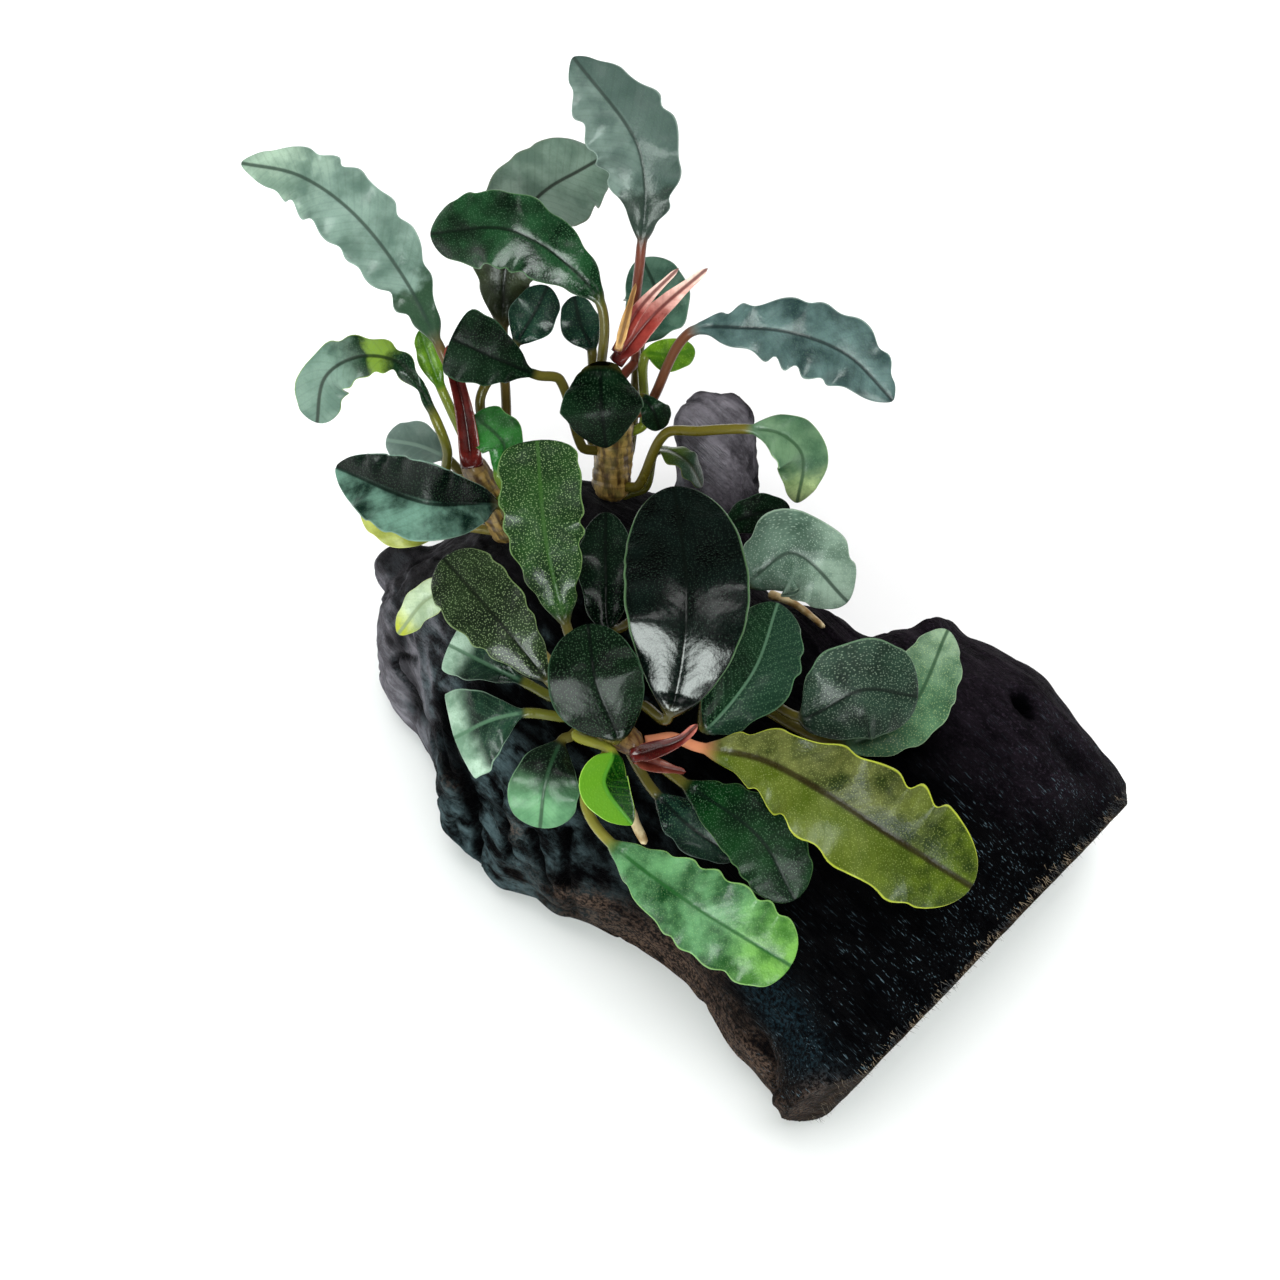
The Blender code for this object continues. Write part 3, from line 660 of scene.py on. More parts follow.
# %% Set the splinters
SPLINTERS = 620
SPLINTER_LENGTHS = (0.4, 1.6)
SPLINTER_WIDTHS = (0.03, 0.07)
SPLINTER_TILTS = (-0.05, 0.35)
SPLINTER_STRAY = 0.35
SPLINTER_ROOT = 0.05 * MM
# How far the splinters stand back from the edge at least, and how far they scatter, in the view.
EDGE_GAP = 2
EDGE_SCATTER = 4
CUT_EDGE = ((812, 1128), (889, 1052), (959, 982), (1033, 899), (1102, 831), (1131, 799))


def splinter(points, faces, root, way, up, length, width):
    """Add one three-sided sliver to the lists."""
    side = way.cross(up).normalized()
    first = len(points)
    for turn in range(3):
        angle = 2 * math.pi * turn / 3
        points.append(root + (side * math.cos(angle) + up * math.sin(angle)) * width)
    points.append(root + way * length)
    for corners in ((0, 1, 3), (1, 2, 3), (2, 0, 3), (2, 1, 0)):
        faces.append([first + corner for corner in corners])


def set_splinters(wood):
    """All the splinters as one mesh."""
    random.seed(12)
    tree = BVHTree.FromObject(wood, bpy.context.evaluated_depsgraph_get())
    points, faces = [], []
    for _ in range(SPLINTERS):
        leg = random.randrange(len(CUT_EDGE) - 1)
        share = random.random()
        across = CUT_EDGE[leg][0] * (1 - share) + CUT_EDGE[leg + 1][0] * share
        down = CUT_EDGE[leg][1] * (1 - share) + CUT_EDGE[leg + 1][1] * share
        back = abs(random.gauss(0, EDGE_SCATTER)) + EDGE_GAP
        hit, normal, _, _ = tree.ray_cast(VIEW_EYE, view_ray(across - back, down - back * 0.8).normalized())
        if hit is None:
            continue
        stray = ASIDE * random.gauss(0, SPLINTER_STRAY)
        way = (-GRAIN + stray + normal * random.uniform(*SPLINTER_TILTS)).normalized()
        length = random.uniform(*SPLINTER_LENGTHS) * MM
        width = random.uniform(*SPLINTER_WIDTHS) * MM
        splinter(points, faces, hit - normal * SPLINTER_ROOT, way, normal, length, width)
    mesh = bpy.data.meshes.new("cut_splinters")
    mesh.from_pydata(points, [], faces)
    piece = bpy.data.objects.new("cut_splinters", mesh)
    bpy.context.scene.collection.objects.link(piece)
    only(piece)
    bpy.ops.object.mode_set(mode="EDIT")
    bpy.ops.mesh.select_all(action="SELECT")
    bpy.ops.mesh.normals_make_consistent(inside=False)
    bpy.ops.object.mode_set(mode="OBJECT")
    return piece


def splinter_finish():
    made = Finish("torn_fibre", roughness=0.7)
    tone = made.noise(made.place(), 500, detail=1)
    return made.done(made.mix(made.step(tone, 0.4, 0.6), screen(40, 42, 44), screen(118, 104, 86)))


splinters = set_splinters(driftwood)
keep_piece(splinters, splinter_finish(), "driftwood")
print("splinters set:", len(splinters.data.polygons) // 4)

# %% [markdown]
# ## Stems that carry the leaves
#
# The rhizomes are thick stems that creep over the wood. Old leaves have left a ring-shaped scar
# each, so the stem is stepped like a bamboo cane. The leaves leave the stem one after another,
# each at its own joint. The joints are found here as the solids have them.

# %% Grow the rhizomes
RHIZOME_RADIUS = 2.3 * MM
JOINT_CLEARANCE = 0.4 * MM
SCAR_SPACING = 1.7 * MM
# As shares of that spacing: how far a scar swings round the stem, and how wide its groove is.
SCAR_SLANT = 0.35
SCAR_WIDTH = 0.12
RHIZOME_STEP = 0.28 * MM
STEM_COLUMNS = 28


def stem_frames(line, last, step):
    """(distance, point, side, up) at even steps along a line, without twist."""
    count = max(4, round(last / step))
    side = None
    frames = []
    for i in range(count + 1):
        at = last * i / count
        ahead = (line(min(at + step / 2, last)) - line(max(at - step / 2, 0))).normalized()
        if side is None:
            side = ahead.orthogonal().normalized()
        side = (side - ahead * side.dot(ahead)).normalized()
        frames.append((at, line(at), side, ahead.cross(side)))
    return frames


def round_stem(name, points, radius_at, step, columns=STEM_COLUMNS):
    """A round stem with domed ends; radius_at(share, distance, turn) gives its radius."""
    line, marks = smooth_curve(points)
    last = marks[-1]
    rows = []
    for at, centre, side, up in stem_frames(line, last, step):
        row = []
        for turn in turned_section(columns):
            radius = radius_at(at / last, at, turn)
            point = centre + side * (math.cos(turn) * radius) + up * (math.sin(turn) * radius)
            row.append((point, (math.cos(turn), at / last, 1), (radius / MM, at / MM, turn)))
        rows.append(row)
    return rolled_sheet(name, rows)


def dome(share, ends):
    """1 in the middle, closing like a quarter circle over a share of the length at each end."""
    near = min(share, 1 - share) / ends
    return math.sqrt(max(0.02, 1 - (1 - near) ** 2)) if near < 1 else 1


def rhizome_radius(share, distance, turn):
    """The radius of a creeping stem, stepped by its scars."""
    ring = distance / SCAR_SPACING + SCAR_SLANT * math.sin(turn + 5 * share)
    step = ring - math.floor(ring)
    scar = 1 + 0.04 * step - 0.06 * math.exp(-((step / SCAR_WIDTH) ** 2))
    knobbly = 1 + 0.04 * math.sin(3 * turn + 9 * share) + 0.03 * math.sin(5 * turn - 21 * share)
    slimmer = 1 - 0.3 * max(0.0, (share - 0.65) / 0.35)
    return RHIZOME_RADIUS * scar * knobbly * slimmer * dome(share, 0.13)


class Rhizome:
    """A creeping stem and the joints that its leaves spring from."""

    def __init__(self, name, start, end, joints, thickness=1.0):
        self.start = start
        self.end = end
        self.joints = joints
        self.used = 0

        def radius_at(share, distance, turn):
            return thickness * rhizome_radius(share, distance, turn)

        points = [start, start.lerp(end, 0.5), end]
        self.piece = round_stem(name + "_rhizome", points, radius_at, RHIZOME_STEP)

    def next_joint(self, towards):
        """Where the next leaf starts on the skin, and which way it leaves."""
        share = (self.used + 0.6) / self.joints
        self.used += 1
        centre = self.start.lerp(self.end, share)
        grain = (self.end - self.start).normalized()
        out = towards - centre
        out = (out - grain * out.dot(grain)).normalized()
        return centre + out * (RHIZOME_RADIUS + JOINT_CLEARANCE), (out + grain * 0.5).normalized()


def bark_finish():
    made = Finish("rhizome_bark_skin", roughness=0.45, coat=0.2, coat_roughness=0.2)
    _, along, _ = made.attribute(PLACE)
    _, distance, turn = made.attribute(MEASURE)
    patches = made.noise(made.place(), 420, detail=4, roughness=0.6)
    round_it = made.math("ABSOLUTE", made.math("SUBTRACT", turn, math.pi))
    streaks = made.noise(made.pair(round_it, made.math("MULTIPLY", distance, 0.12)), 2.6, detail=4)
    colour = made.mix(made.step(streaks, 0.38, 0.6), screen(74, 52, 20), screen(164, 134, 70))
    colour = made.mix(made.step(patches, 0.45, 0.7, 0, 0.6), colour, screen(84, 84, 34))
    colour = made.mix(made.step(along, 0.6, 1.0, 0, 0.7), colour, screen(70, 34, 22))
    ring = made.math("FRACT", made.math("MULTIPLY", distance, MM / SCAR_SPACING))
    colour = made.mix(made.step(ring, 0.0, 0.22, 0.35, 0), colour, screen(40, 26, 12))
    return made.done(colour, made.step(patches, 0.3, 0.7, 0.35, 0.6), made.bump(streaks, 0.2 * MM, 0.6))


rhizomes = {
    "back": Rhizome("back", on_wood(612, 505, 1 * MM), seen(614, 374, 50), 11, thickness=1.25),
    "left": Rhizome("left", on_wood(512, 545, 1 * MM), seen(468, 455, 46), 9),
    "middle": Rhizome("middle", on_wood(662, 690, 2.2 * MM), on_wood(722, 565, 2.2 * MM), 6),
    "front": Rhizome("front", on_wood(566, 700, 2.2 * MM), seen(640, 748, 42), 13),
}
bark = bark_finish()
for name, stem in rhizomes.items():
    keep_piece(stem.piece, bark, "rhizome_bark", "rhizome_" + name)
print("rhizomes:", [len(stem.piece.data.vertices) for stem in rhizomes.values()], "points")

# %% [markdown]
# ## One leaf
#
# A leaf is a round stalk that flattens into a thick blade. The blade has a groove along its
# midrib and a keel under it, and its two halves are slightly domed. Its margin waves up and
# down, slowly as in the solid, and it is scalloped: between small notches the edge bulges out and
# turns down, as on cloth that has been gathered. The blade's width and its way through space are
# those of the solid, so each leaf lies where its solid lies.

# %% Shape a leaf
PETIOLE_RADIUS = 0.75 * MM
BLADE_THICKNESS = 0.7 * MM
PETIOLE_RISE = 2.6 * MM
ROOT_DEPTH = 1.2 * MM
LEAF_STEP = 0.42 * MM
# The rows are even up to this share of the blade, and then close up towards the tip.
EVEN_ROWS = 0.955
TIP_SHARES = (0.965, 0.978, 0.988, 0.995, 0.999)
# A blade faces the view as it bends, but keeps its turn where it points nearly at the view.
LEAST_TURN = 0.25
# The round petiole flattens over the first share of the blade; the tip closes over the last.
FLATTENING = 0.12
TIP_CLOSING = 0.08
# The two margins wave out of step by this angle, and scallop out of step by this share of one.
MARGIN_LAG = 2.1
SCALLOP_LAG = 0.37
# Scallops wander along the margin, and fade and grow, over these lengths in millimetres.
WANDER_LENGTH = 8
FADE_LENGTH = 7
GROOVE_WIDTH = 0.42 * MM
GROOVE_DEPTH = 0.5
KEEL_WIDTH = 0.7 * MM
VEIN_SLANT = 0.9
DOMING = 0.025
BUCKLE = 0.45 * MM
BUCKLE_SPACING = 5.5
BUCKLE_WIDTH = 4 * MM
HALF_ACROSS = (1, 0.985, 0.95, 0.89, 0.8, 0.68, 0.54, 0.4, 0.27, 0.16, 0.08, 0.03)
ACROSS = (*HALF_ACROSS, 0, *[-x for x in reversed(HALF_ACROSS)])


# What holds for a blade that says nothing else. LENGTHS are given in millimetres, the roll in
# degrees, the petiole's radius in metres and the rest as shares or counts.
PLAIN_FORM = dict(
    widest=0.5, bluntness=2.2, taper=0.85, point=0.0, roll=0, cup=0.0, wave=0.3, waves=3.5,
    radius=PETIOLE_RADIUS, scallop=0.32, frill=0.3, scallop_length=4.2,
)
LENGTHS = ("width", "wave", "scallop", "frill", "scallop_length")


class Form:
    """The shape of one blade."""

    def __init__(self, name, **shape):
        for term, value in {**PLAIN_FORM, **shape}.items():
            setattr(self, term, value * MM if term in LENGTHS else value)
        self.seed = random.Random(name).uniform(0, 90)

    def blade_half_width(self, share):
        if share < self.widest:
            return self.width / 2 * math.sin(math.pi / 2 * share / self.widest) ** self.taper
        past = (share - self.widest) / (1 - self.widest)
        blunt = (1 - past ** self.bluntness) ** 0.55
        sharp = 1 - past ** 1.6
        return self.width / 2 * (blunt * (1 - self.point) + sharp * self.point)

    def half_width(self, share):
        """Half the width at a place, never less than the stalk."""
        if share <= 0:
            return self.radius
        stalk = self.radius * (1 - 0.5 * share) * (1 - max(0.0, (share - 0.9) / 0.1) ** 2)
        return max(self.blade_half_width(min(share, 0.9995)), stalk)

    def margin(self, side, share, distance):
        """How far one margin is drawn in, and how far it is lifted."""
        where = distance / MM
        wander = noise.noise((where / WANDER_LENGTH, self.seed, 3 * side))
        strength = 0.8 + 0.9 * noise.noise((where / FADE_LENGTH, self.seed + 9, 3 * side))
        phase = distance / self.scallop_length + 0.6 * wander + SCALLOP_LAG * side
        fade = strength * min(1, 4 * share) * min(1, 5 * (1 - share))
        swing = math.cos(2 * math.pi * phase)
        # Notches are narrower than the bulges between them, and draw in as much as those stand out.
        notch = (0.5 + 0.5 * swing) ** 1.2 - 0.45
        return self.scallop * 1.3 * notch * fade, self.frill * swing * fade


def skin_rise(x, top, reach, half_width, thick):
    """How far the skin stands off the middle of a flat blade, at a share x of its half width."""
    profile = thick * math.sqrt(max(0.0, 1 - abs(x) ** 6))
    if top > 0:
        rise = profile * (1 - GROOVE_DEPTH * math.exp(-((reach / GROOVE_WIDTH) ** 2)))
    else:
        rise = -profile * (1 + math.exp(-((reach / KEEL_WIDTH) ** 2)))
    return rise + DOMING * half_width * math.sin(math.pi * min(1, 1.15 * abs(x))) ** 2


def leaf_section(form, centre, aside, face, share, distance):
    """One closed row round a leaf: over the top from right to left, and back underneath."""
    half_width = form.half_width(share)
    on_blade = max(0.0, share)
    flat = min(1.0, on_blade / FLATTENING)
    closing = (1 - max(0.0, (on_blade - 1 + TIP_CLOSING) / TIP_CLOSING) ** 2) ** 0.5
    thick = BLADE_THICKNESS / 2 * (1 - 0.4 * on_blade) * closing
    swing = form.wave * max(0.0, math.sin(math.pi * min(1, 1.2 * on_blade))) ** 0.5
    turn = 2 * math.pi * form.waves * share
    lifts = {side: flat * (form.cup * half_width + swing * math.sin(turn + lag))
             for side, lag in ((-1, 0), (1, MARGIN_LAG))}
    margins = {side: form.margin(side, on_blade, distance) for side in (-1, 1)}
    row = []
    for top, places in ((1, ACROSS), (-1, ACROSS[::-1])):
        for x in places:
            side = 1 if x >= 0 else -1
            drawn_in, ripple = margins[side]
            reach = x * (half_width - drawn_in * x * x)
            round_rise = math.sqrt(max(0.0, 1 - x * x)) * half_width
            spot = (reach / MM / BUCKLE_SPACING, distance / MM / BUCKLE_SPACING, form.seed)
            lift = lifts[side] * abs(x) ** 1.4
            lift += flat * ripple * abs(x) ** 3
            lift += flat * BUCKLE * noise.noise(spot) * min(1, half_width / BUCKLE_WIDTH)
            rise = skin_rise(x, top, reach, half_width, thick)
            height = (1 - flat) * top * round_rise + flat * rise + lift
            vein = distance / MM - VEIN_SLANT * abs(reach) / MM
            point = centre + aside * reach + face * height
            row.append((point, (x, share, top), (reach / MM, distance / MM, vein)))
    return row[:len(ACROSS)] + row[len(ACROSS) + 1:]


def leaf_sheet(name, points, base, form):
    """A leaf along its points: a stalk up to the one numbered base, then the blade."""
    line, marks = smooth_curve(points)
    base_at = marks[base]
    last = marks[-1]
    chord = (line(last) - line(base_at)).normalized()
    facing = Matrix.Rotation(math.radians(form.roll), 3, chord) @ -VIEW_AHEAD
    aside = chord.cross(facing).normalized()
    stalk_rows = round(base_at / LEAF_STEP)
    blade_rows = round((last - base_at) / LEAF_STEP)
    stations = [base_at * i / stalk_rows for i in range(stalk_rows)]
    stations += [base_at + (last - base_at) * EVEN_ROWS * i / blade_rows for i in range(blade_rows + 1)]
    stations += [base_at + (last - base_at) * share for share in TIP_SHARES]
    rows = []
    for at in stations:
        step = 0.1 * MM
        tangent = (line(min(at + step, last)) - line(max(at - step, 0))).normalized()
        turned = tangent.cross(facing)
        if turned.length > LEAST_TURN:
            aside = turned.normalized()
        aside = (aside - tangent * aside.dot(tangent)).normalized()
        face = aside.cross(tangent)
        share = (at - base_at) / (last - base_at)
        rows.append(leaf_section(form, line(at), aside, face, share, at - base_at))
    return rolled_sheet(name, rows)


def grow_leaf(crown, name, slot, look, width, route, blade_from=0, **shape):
    """A leaf from its joint on the rhizome through its route; the blade starts at blade_from."""
    node = "leaf_" + crown + "_" + name
    places = [seen(*place) for place in route]
    joint, leaving = rhizomes[crown].next_joint(places[0])
    petiole = [joint - leaving * ROOT_DEPTH, joint, joint + leaving * PETIOLE_RISE]
    base = len(petiole) + blade_from
    piece = leaf_sheet(crown + "_" + name + "_leaf", petiole + places, base, Form(node, width=width, **shape))
    keep_piece(piece, leaf_look(look), slot, node)


def grow_crown(crown, leaves):
    """Grow the leaves of a crown in the order in which they leave its rhizome."""
    for name, slot, look, width, route, shape in leaves:
        grow_leaf(crown, name, slot, look, width, route, **shape)


print("each leaf row has", 2 * len(ACROSS) - 1, "points")

# %% [markdown]
# ## The finishes of the leaves
#
# The leaves are nearly black-green when old, teal-grey at the back, and light green to yellow
# when young; the grey of the back leaves is partly painted sheen. One recipe serves all of them:
# two tones in a soft mottle, faint side veins, tiny pale specks, a dark groove for the midrib, a
# thin pale margin, a stalk of its own colour and a duller underside. Some looks paint light and
# shade into their tones as well: a lit half, pale highlight streaks, a whitish sheen, the shadow
# of the rosette above a leaf and the shaded half of a folded leaf. The skin is finely pebbled, and
# smoothest at the base of the blade. A thin film of water lies over it as a clear coat that is
# smoother than the skin. Each look only names the colours and strengths that make it different
# from a plain one.

# %% Recipes for the leaves
SPECKS_PER_MM = 2.7
SKIN_DEPTH = 1.35
VEIN_SPACING = 1.5 * MM
BEND_EDGE = 0.06
# What holds for a look that says nothing else. The colours are those on a screen, specks is the
# strength of the specks, rib_width is in millimetres, and gloss is the roughness at the base and
# from the middle of the blade on.
PLAIN = dict(
    rib=(8, 18, 12), edge=(76, 104, 80), speck=(110, 140, 112), stalk=(104, 98, 46), specks=0.3,
    rib_width=0.4, gloss=(0.2, 0.42), coat=0.3, specular=0.2,
)
# dark and light are the two tones of the mottle. A look may have other tones right of the midrib,
# at a bend and at the tip; a span says from where to where along the blade.
LOOKS = {
    "dark": dict(dark=(4, 16, 7), light=(14, 42, 20), gloss=(0.2, 0.5), coat=0.22, specular=0.08),
    "dark_satin": dict(dark=(4, 18, 8), light=(15, 48, 25), specks=0.25, gloss=(0.3, 0.5), coat=0.06,
        specular=0.1),
    "dark_wet": dict(dark=(4, 15, 9), light=(13, 38, 24), specks=0.25, gloss=(0.16, 0.35), coat=0.6,
        specular=0.15),
    "deep_green": dict(dark=(12, 38, 20), light=(44, 88, 56), specks=0.35, rib=(14, 34, 20),
        edge=(100, 136, 96), gloss=(0.16, 0.4), coat=0.5, specular=0.15),
    "dark_blue": dict(dark=(2, 7, 5), light=(8, 24, 19), specks=0.12, speck=(120, 150, 130),
        edge=(106, 136, 100), gloss=(0.12, 0.5), coat=0.9, specular=0.15),
    "dark_green": dict(dark=(7, 34, 14), light=(20, 68, 30), specks=0.4, rib=(16, 36, 24),
        edge=(96, 130, 84), gloss=(0.2, 0.5), coat=0.12, specular=0.12),
    "leaf_green": dict(dark=(22, 74, 26), light=(56, 120, 56), rib=(28, 70, 30), edge=(112, 156, 90),
        stalk=(110, 130, 50)),
    # The pale grey of teal, teal_red_stalk and slate is partly painted sheen, over the leaves' own teal.
    "teal": dict(dark=(100, 122, 112), light=(138, 158, 148), rib=(60, 78, 68), edge=(160, 178, 168),
        specks=0.2, bend=(62, 88, 68), bend_span=(0.0, 0.22), tip_dark=(134, 154, 140),
        tip_light=(168, 186, 170), tip_span=(0.66, 0.9), stalk=(112, 92, 56), gloss=(0.35, 0.45)),
    "teal_red_stalk": dict(dark=(88, 106, 100), light=(126, 142, 135), rib=(56, 70, 64),
        edge=(150, 166, 158), specks=0.2, right=(76, 95, 89), right_share=0.75, bend=(60, 74, 67),
        bend_span=(0.0, 0.25), stalk=(124, 72, 54), gloss=(0.35, 0.45)),
    "slate": dict(dark=(52, 74, 74), light=(106, 128, 126), rib=(40, 54, 54), edge=(150, 168, 160),
        specks=0.25, stalk=(120, 80, 56), gloss=(0.3, 0.45)),
    "teal_mid": dict(dark=(58, 92, 78), light=(104, 134, 118), rib=(40, 64, 52), edge=(130, 154, 138)),
    # half_lit: the right half is painted lit, a teal sheen on the dark leaf.
    "half_lit": dict(dark=(9, 32, 18), light=(26, 62, 38), rib=(96, 126, 104), rib_width=0.3,
        edge=(110, 146, 110), specks=0.5, right=(40, 72, 56), right_share=0.8, gloss=(0.25, 0.5),
        specular=0.15),
    # sheen: the light tone of the mottle is painted highlight streaks; the right half stays dark.
    "sheen": dict(dark=(20, 48, 40), light=(122, 154, 140), rib=(10, 24, 16), edge=(140, 164, 150),
        specks=0.2, right=(5, 18, 12), right_share=0.98, gloss=(0.16, 0.35), coat=0.12, specular=0.12),
    "teal_deep": dict(dark=(14, 38, 32), light=(38, 74, 60), rib=(16, 30, 26), edge=(96, 124, 110),
        specks=0.4),
    "teal_pale": dict(dark=(116, 136, 128), light=(146, 164, 156), rib=(150, 172, 160),
        edge=(164, 184, 174), specks=0.15, gloss=(0.4, 0.5)),
    "olive_to_teal": dict(dark=(40, 48, 30), light=(72, 80, 52), rib=(30, 34, 22), edge=(118, 130, 110),
        specks=0.2, tip_dark=(104, 124, 112), tip_light=(132, 150, 138), tip_span=(0.25, 0.6),
        stalk=(104, 90, 44), gloss=(0.35, 0.5)),
    "speckled": dict(dark=(24, 38, 20), light=(48, 66, 38), specks=0.85, speck=(140, 158, 122),
        rib=(18, 28, 14), edge=(130, 150, 104), gloss=(0.32, 0.45)),
    "green": dict(dark=(22, 50, 20), light=(48, 84, 36), specks=0.8, speck=(146, 168, 126),
        rib=(64, 100, 44), edge=(128, 156, 100), gloss=(0.34, 0.5)),
    "grey_dark": dict(dark=(26, 46, 36), light=(58, 82, 68), specks=0.6, speck=(150, 166, 148),
        rib=(22, 36, 30), edge=(120, 146, 120), gloss=(0.3, 0.45)),
    "bright": dict(dark=(72, 112, 22), light=(128, 164, 50), specks=0.15, speck=(200, 226, 120),
        rib=(80, 120, 28), edge=(176, 200, 92), stalk=(130, 140, 60)),
    # bright_folded: the dark tones are painted shade on the folded leaf; the right half shows its bright
    # green.
    "bright_folded": dict(dark=(5, 42, 5), light=(18, 74, 12), specks=0.05, speck=(200, 226, 120),
        rib=(96, 150, 54), edge=(176, 206, 110), right=(112, 158, 52), right_share=0.9,
        stalk=(150, 150, 70), gloss=(0.14, 0.18), coat=0.2),
    "pale": dict(dark=(64, 100, 74), light=(104, 138, 108), specks=0.45, speck=(186, 200, 150),
        rib=(60, 92, 66), edge=(160, 184, 150), tip_dark=(104, 132, 108), tip_light=(150, 172, 148),
        tip_span=(0.55, 0.95), gloss=(0.4, 0.5)),
    # The pale grey of pale_grey is partly painted sheen, over the leaf's own grey-green.
    "pale_grey": dict(dark=(70, 94, 80), light=(106, 128, 114), specks=0.45, speck=(176, 190, 176),
        rib=(54, 74, 62), edge=(160, 178, 160), tip_dark=(112, 132, 118), tip_light=(152, 170, 156),
        tip_span=(0.4, 0.85), gloss=(0.35, 0.5)),
    "pale_yellow": dict(dark=(150, 166, 140), light=(190, 202, 176), specks=0.2, rib=(134, 148, 116),
        edge=(200, 210, 150), tip_dark=(170, 176, 50), tip_light=(196, 200, 90), tip_span=(0.72, 0.95),
        stalk=(150, 140, 90), gloss=(0.4, 0.5)),
    # dark_to_pale: the dark part before the tip is painted shadow of the rosette above it; the pale tip is
    # its own colour.
    "dark_to_pale": dict(dark=(4, 14, 8), light=(14, 34, 20), tip_dark=(92, 138, 102),
        tip_light=(122, 166, 128), tip_span=(0.34, 0.78), edge=(126, 158, 128), gloss=(0.5, 0.5),
        rib=(50, 84, 58), specular=0.15),
    "teal_fan": dict(dark=(14, 38, 29), light=(44, 76, 60), rib=(96, 128, 104), edge=(150, 176, 156),
        tip_dark=(124, 152, 132), tip_light=(180, 200, 184), tip_span=(0.6, 0.9), stalk=(108, 110, 48),
        gloss=(0.25, 0.4)),
    "stalk_fan": dict(dark=(76, 108, 84), light=(118, 144, 116), rib=(66, 96, 68), edge=(160, 184, 140),
        tip_dark=(120, 142, 98), tip_light=(176, 190, 144), tip_span=(0.6, 0.85), specks=0.4,
        stalk=(116, 108, 44), gloss=(0.3, 0.45)),
    # green_to_pale: the pale tone of the mottle is partly a painted whitish sheen.
    "green_to_pale": dict(dark=(24, 76, 38), light=(112, 156, 114), rib=(46, 100, 50), edge=(150, 186, 120),
        tip_dark=(76, 124, 52), tip_light=(124, 168, 88), tip_span=(0.62, 0.95), specks=0.15,
        speck=(176, 206, 150), stalk=(140, 136, 66), gloss=(0.25, 0.4)),
    "olive_strip": dict(dark=(60, 78, 28), light=(94, 112, 48), rib=(50, 60, 24), edge=(130, 140, 84),
        tip_dark=(30, 50, 36), tip_light=(60, 84, 66), tip_span=(0.35, 0.65), stalk=(110, 110, 48)),
    "yellow_under": dict(dark=(158, 164, 84), light=(196, 200, 124), rib=(128, 130, 60),
        edge=(206, 208, 140), specks=0.1, stalk=(150, 140, 80), gloss=(0.4, 0.5)),
    "dark_to_yellow": dict(dark=(14, 40, 24), light=(32, 66, 40), rib=(24, 44, 24), edge=(156, 180, 90),
        tip_dark=(104, 130, 118), tip_light=(134, 156, 144), tip_span=(0.52, 0.7), bend=(126, 150, 66),
        bend_span=(0.4, 0.46), stalk=(120, 120, 50)),
    "large_olive": dict(dark=(46, 60, 20), light=(116, 120, 72), rib=(48, 34, 12), rib_width=0.7,
        edge=(190, 198, 84), right=(98, 114, 26), right_share=0.6, speck=(170, 178, 116),
        tip_dark=(46, 64, 12), tip_light=(96, 112, 26), tip_span=(0.55, 0.95), stalk=(196, 140, 110),
        gloss=(0.25, 0.4), coat=0.16, specular=0.12),
    "red": dict(dark=(108, 36, 34), light=(168, 84, 76), specks=0.05, rib=(104, 34, 32),
        edge=(222, 176, 162), tip_dark=(214, 156, 144), tip_light=(240, 214, 204), tip_span=(0.4, 0.85),
        stalk=(100, 28, 28), under=(150, 60, 52), gloss=(0.16, 0.3), coat=0.4),
    "pink": dict(dark=(104, 50, 38), light=(150, 92, 74), specks=0.05, rib=(90, 38, 30),
        edge=(180, 120, 100), tip_dark=(84, 34, 26), tip_light=(124, 64, 50), tip_span=(0.5, 0.9),
        stalk=(120, 62, 44), under=(120, 70, 56), gloss=(0.2, 0.3)),
    "dark_red": dict(dark=(76, 22, 20), light=(118, 48, 42), specks=0.05, rib=(60, 18, 16),
        edge=(190, 120, 104), tip_dark=(140, 66, 58), tip_light=(192, 130, 118), tip_span=(0.7, 1.0),
        stalk=(76, 22, 18), under=(96, 34, 28), gloss=(0.12, 0.2), coat=0.4),
    "tan_dry": dict(dark=(160, 126, 80), light=(206, 172, 120), specks=0.1, rib=(120, 88, 54),
        edge=(206, 178, 136), stalk=(140, 104, 66), under=(150, 116, 76), gloss=(0.5, 0.6)),
}
made_looks = {}


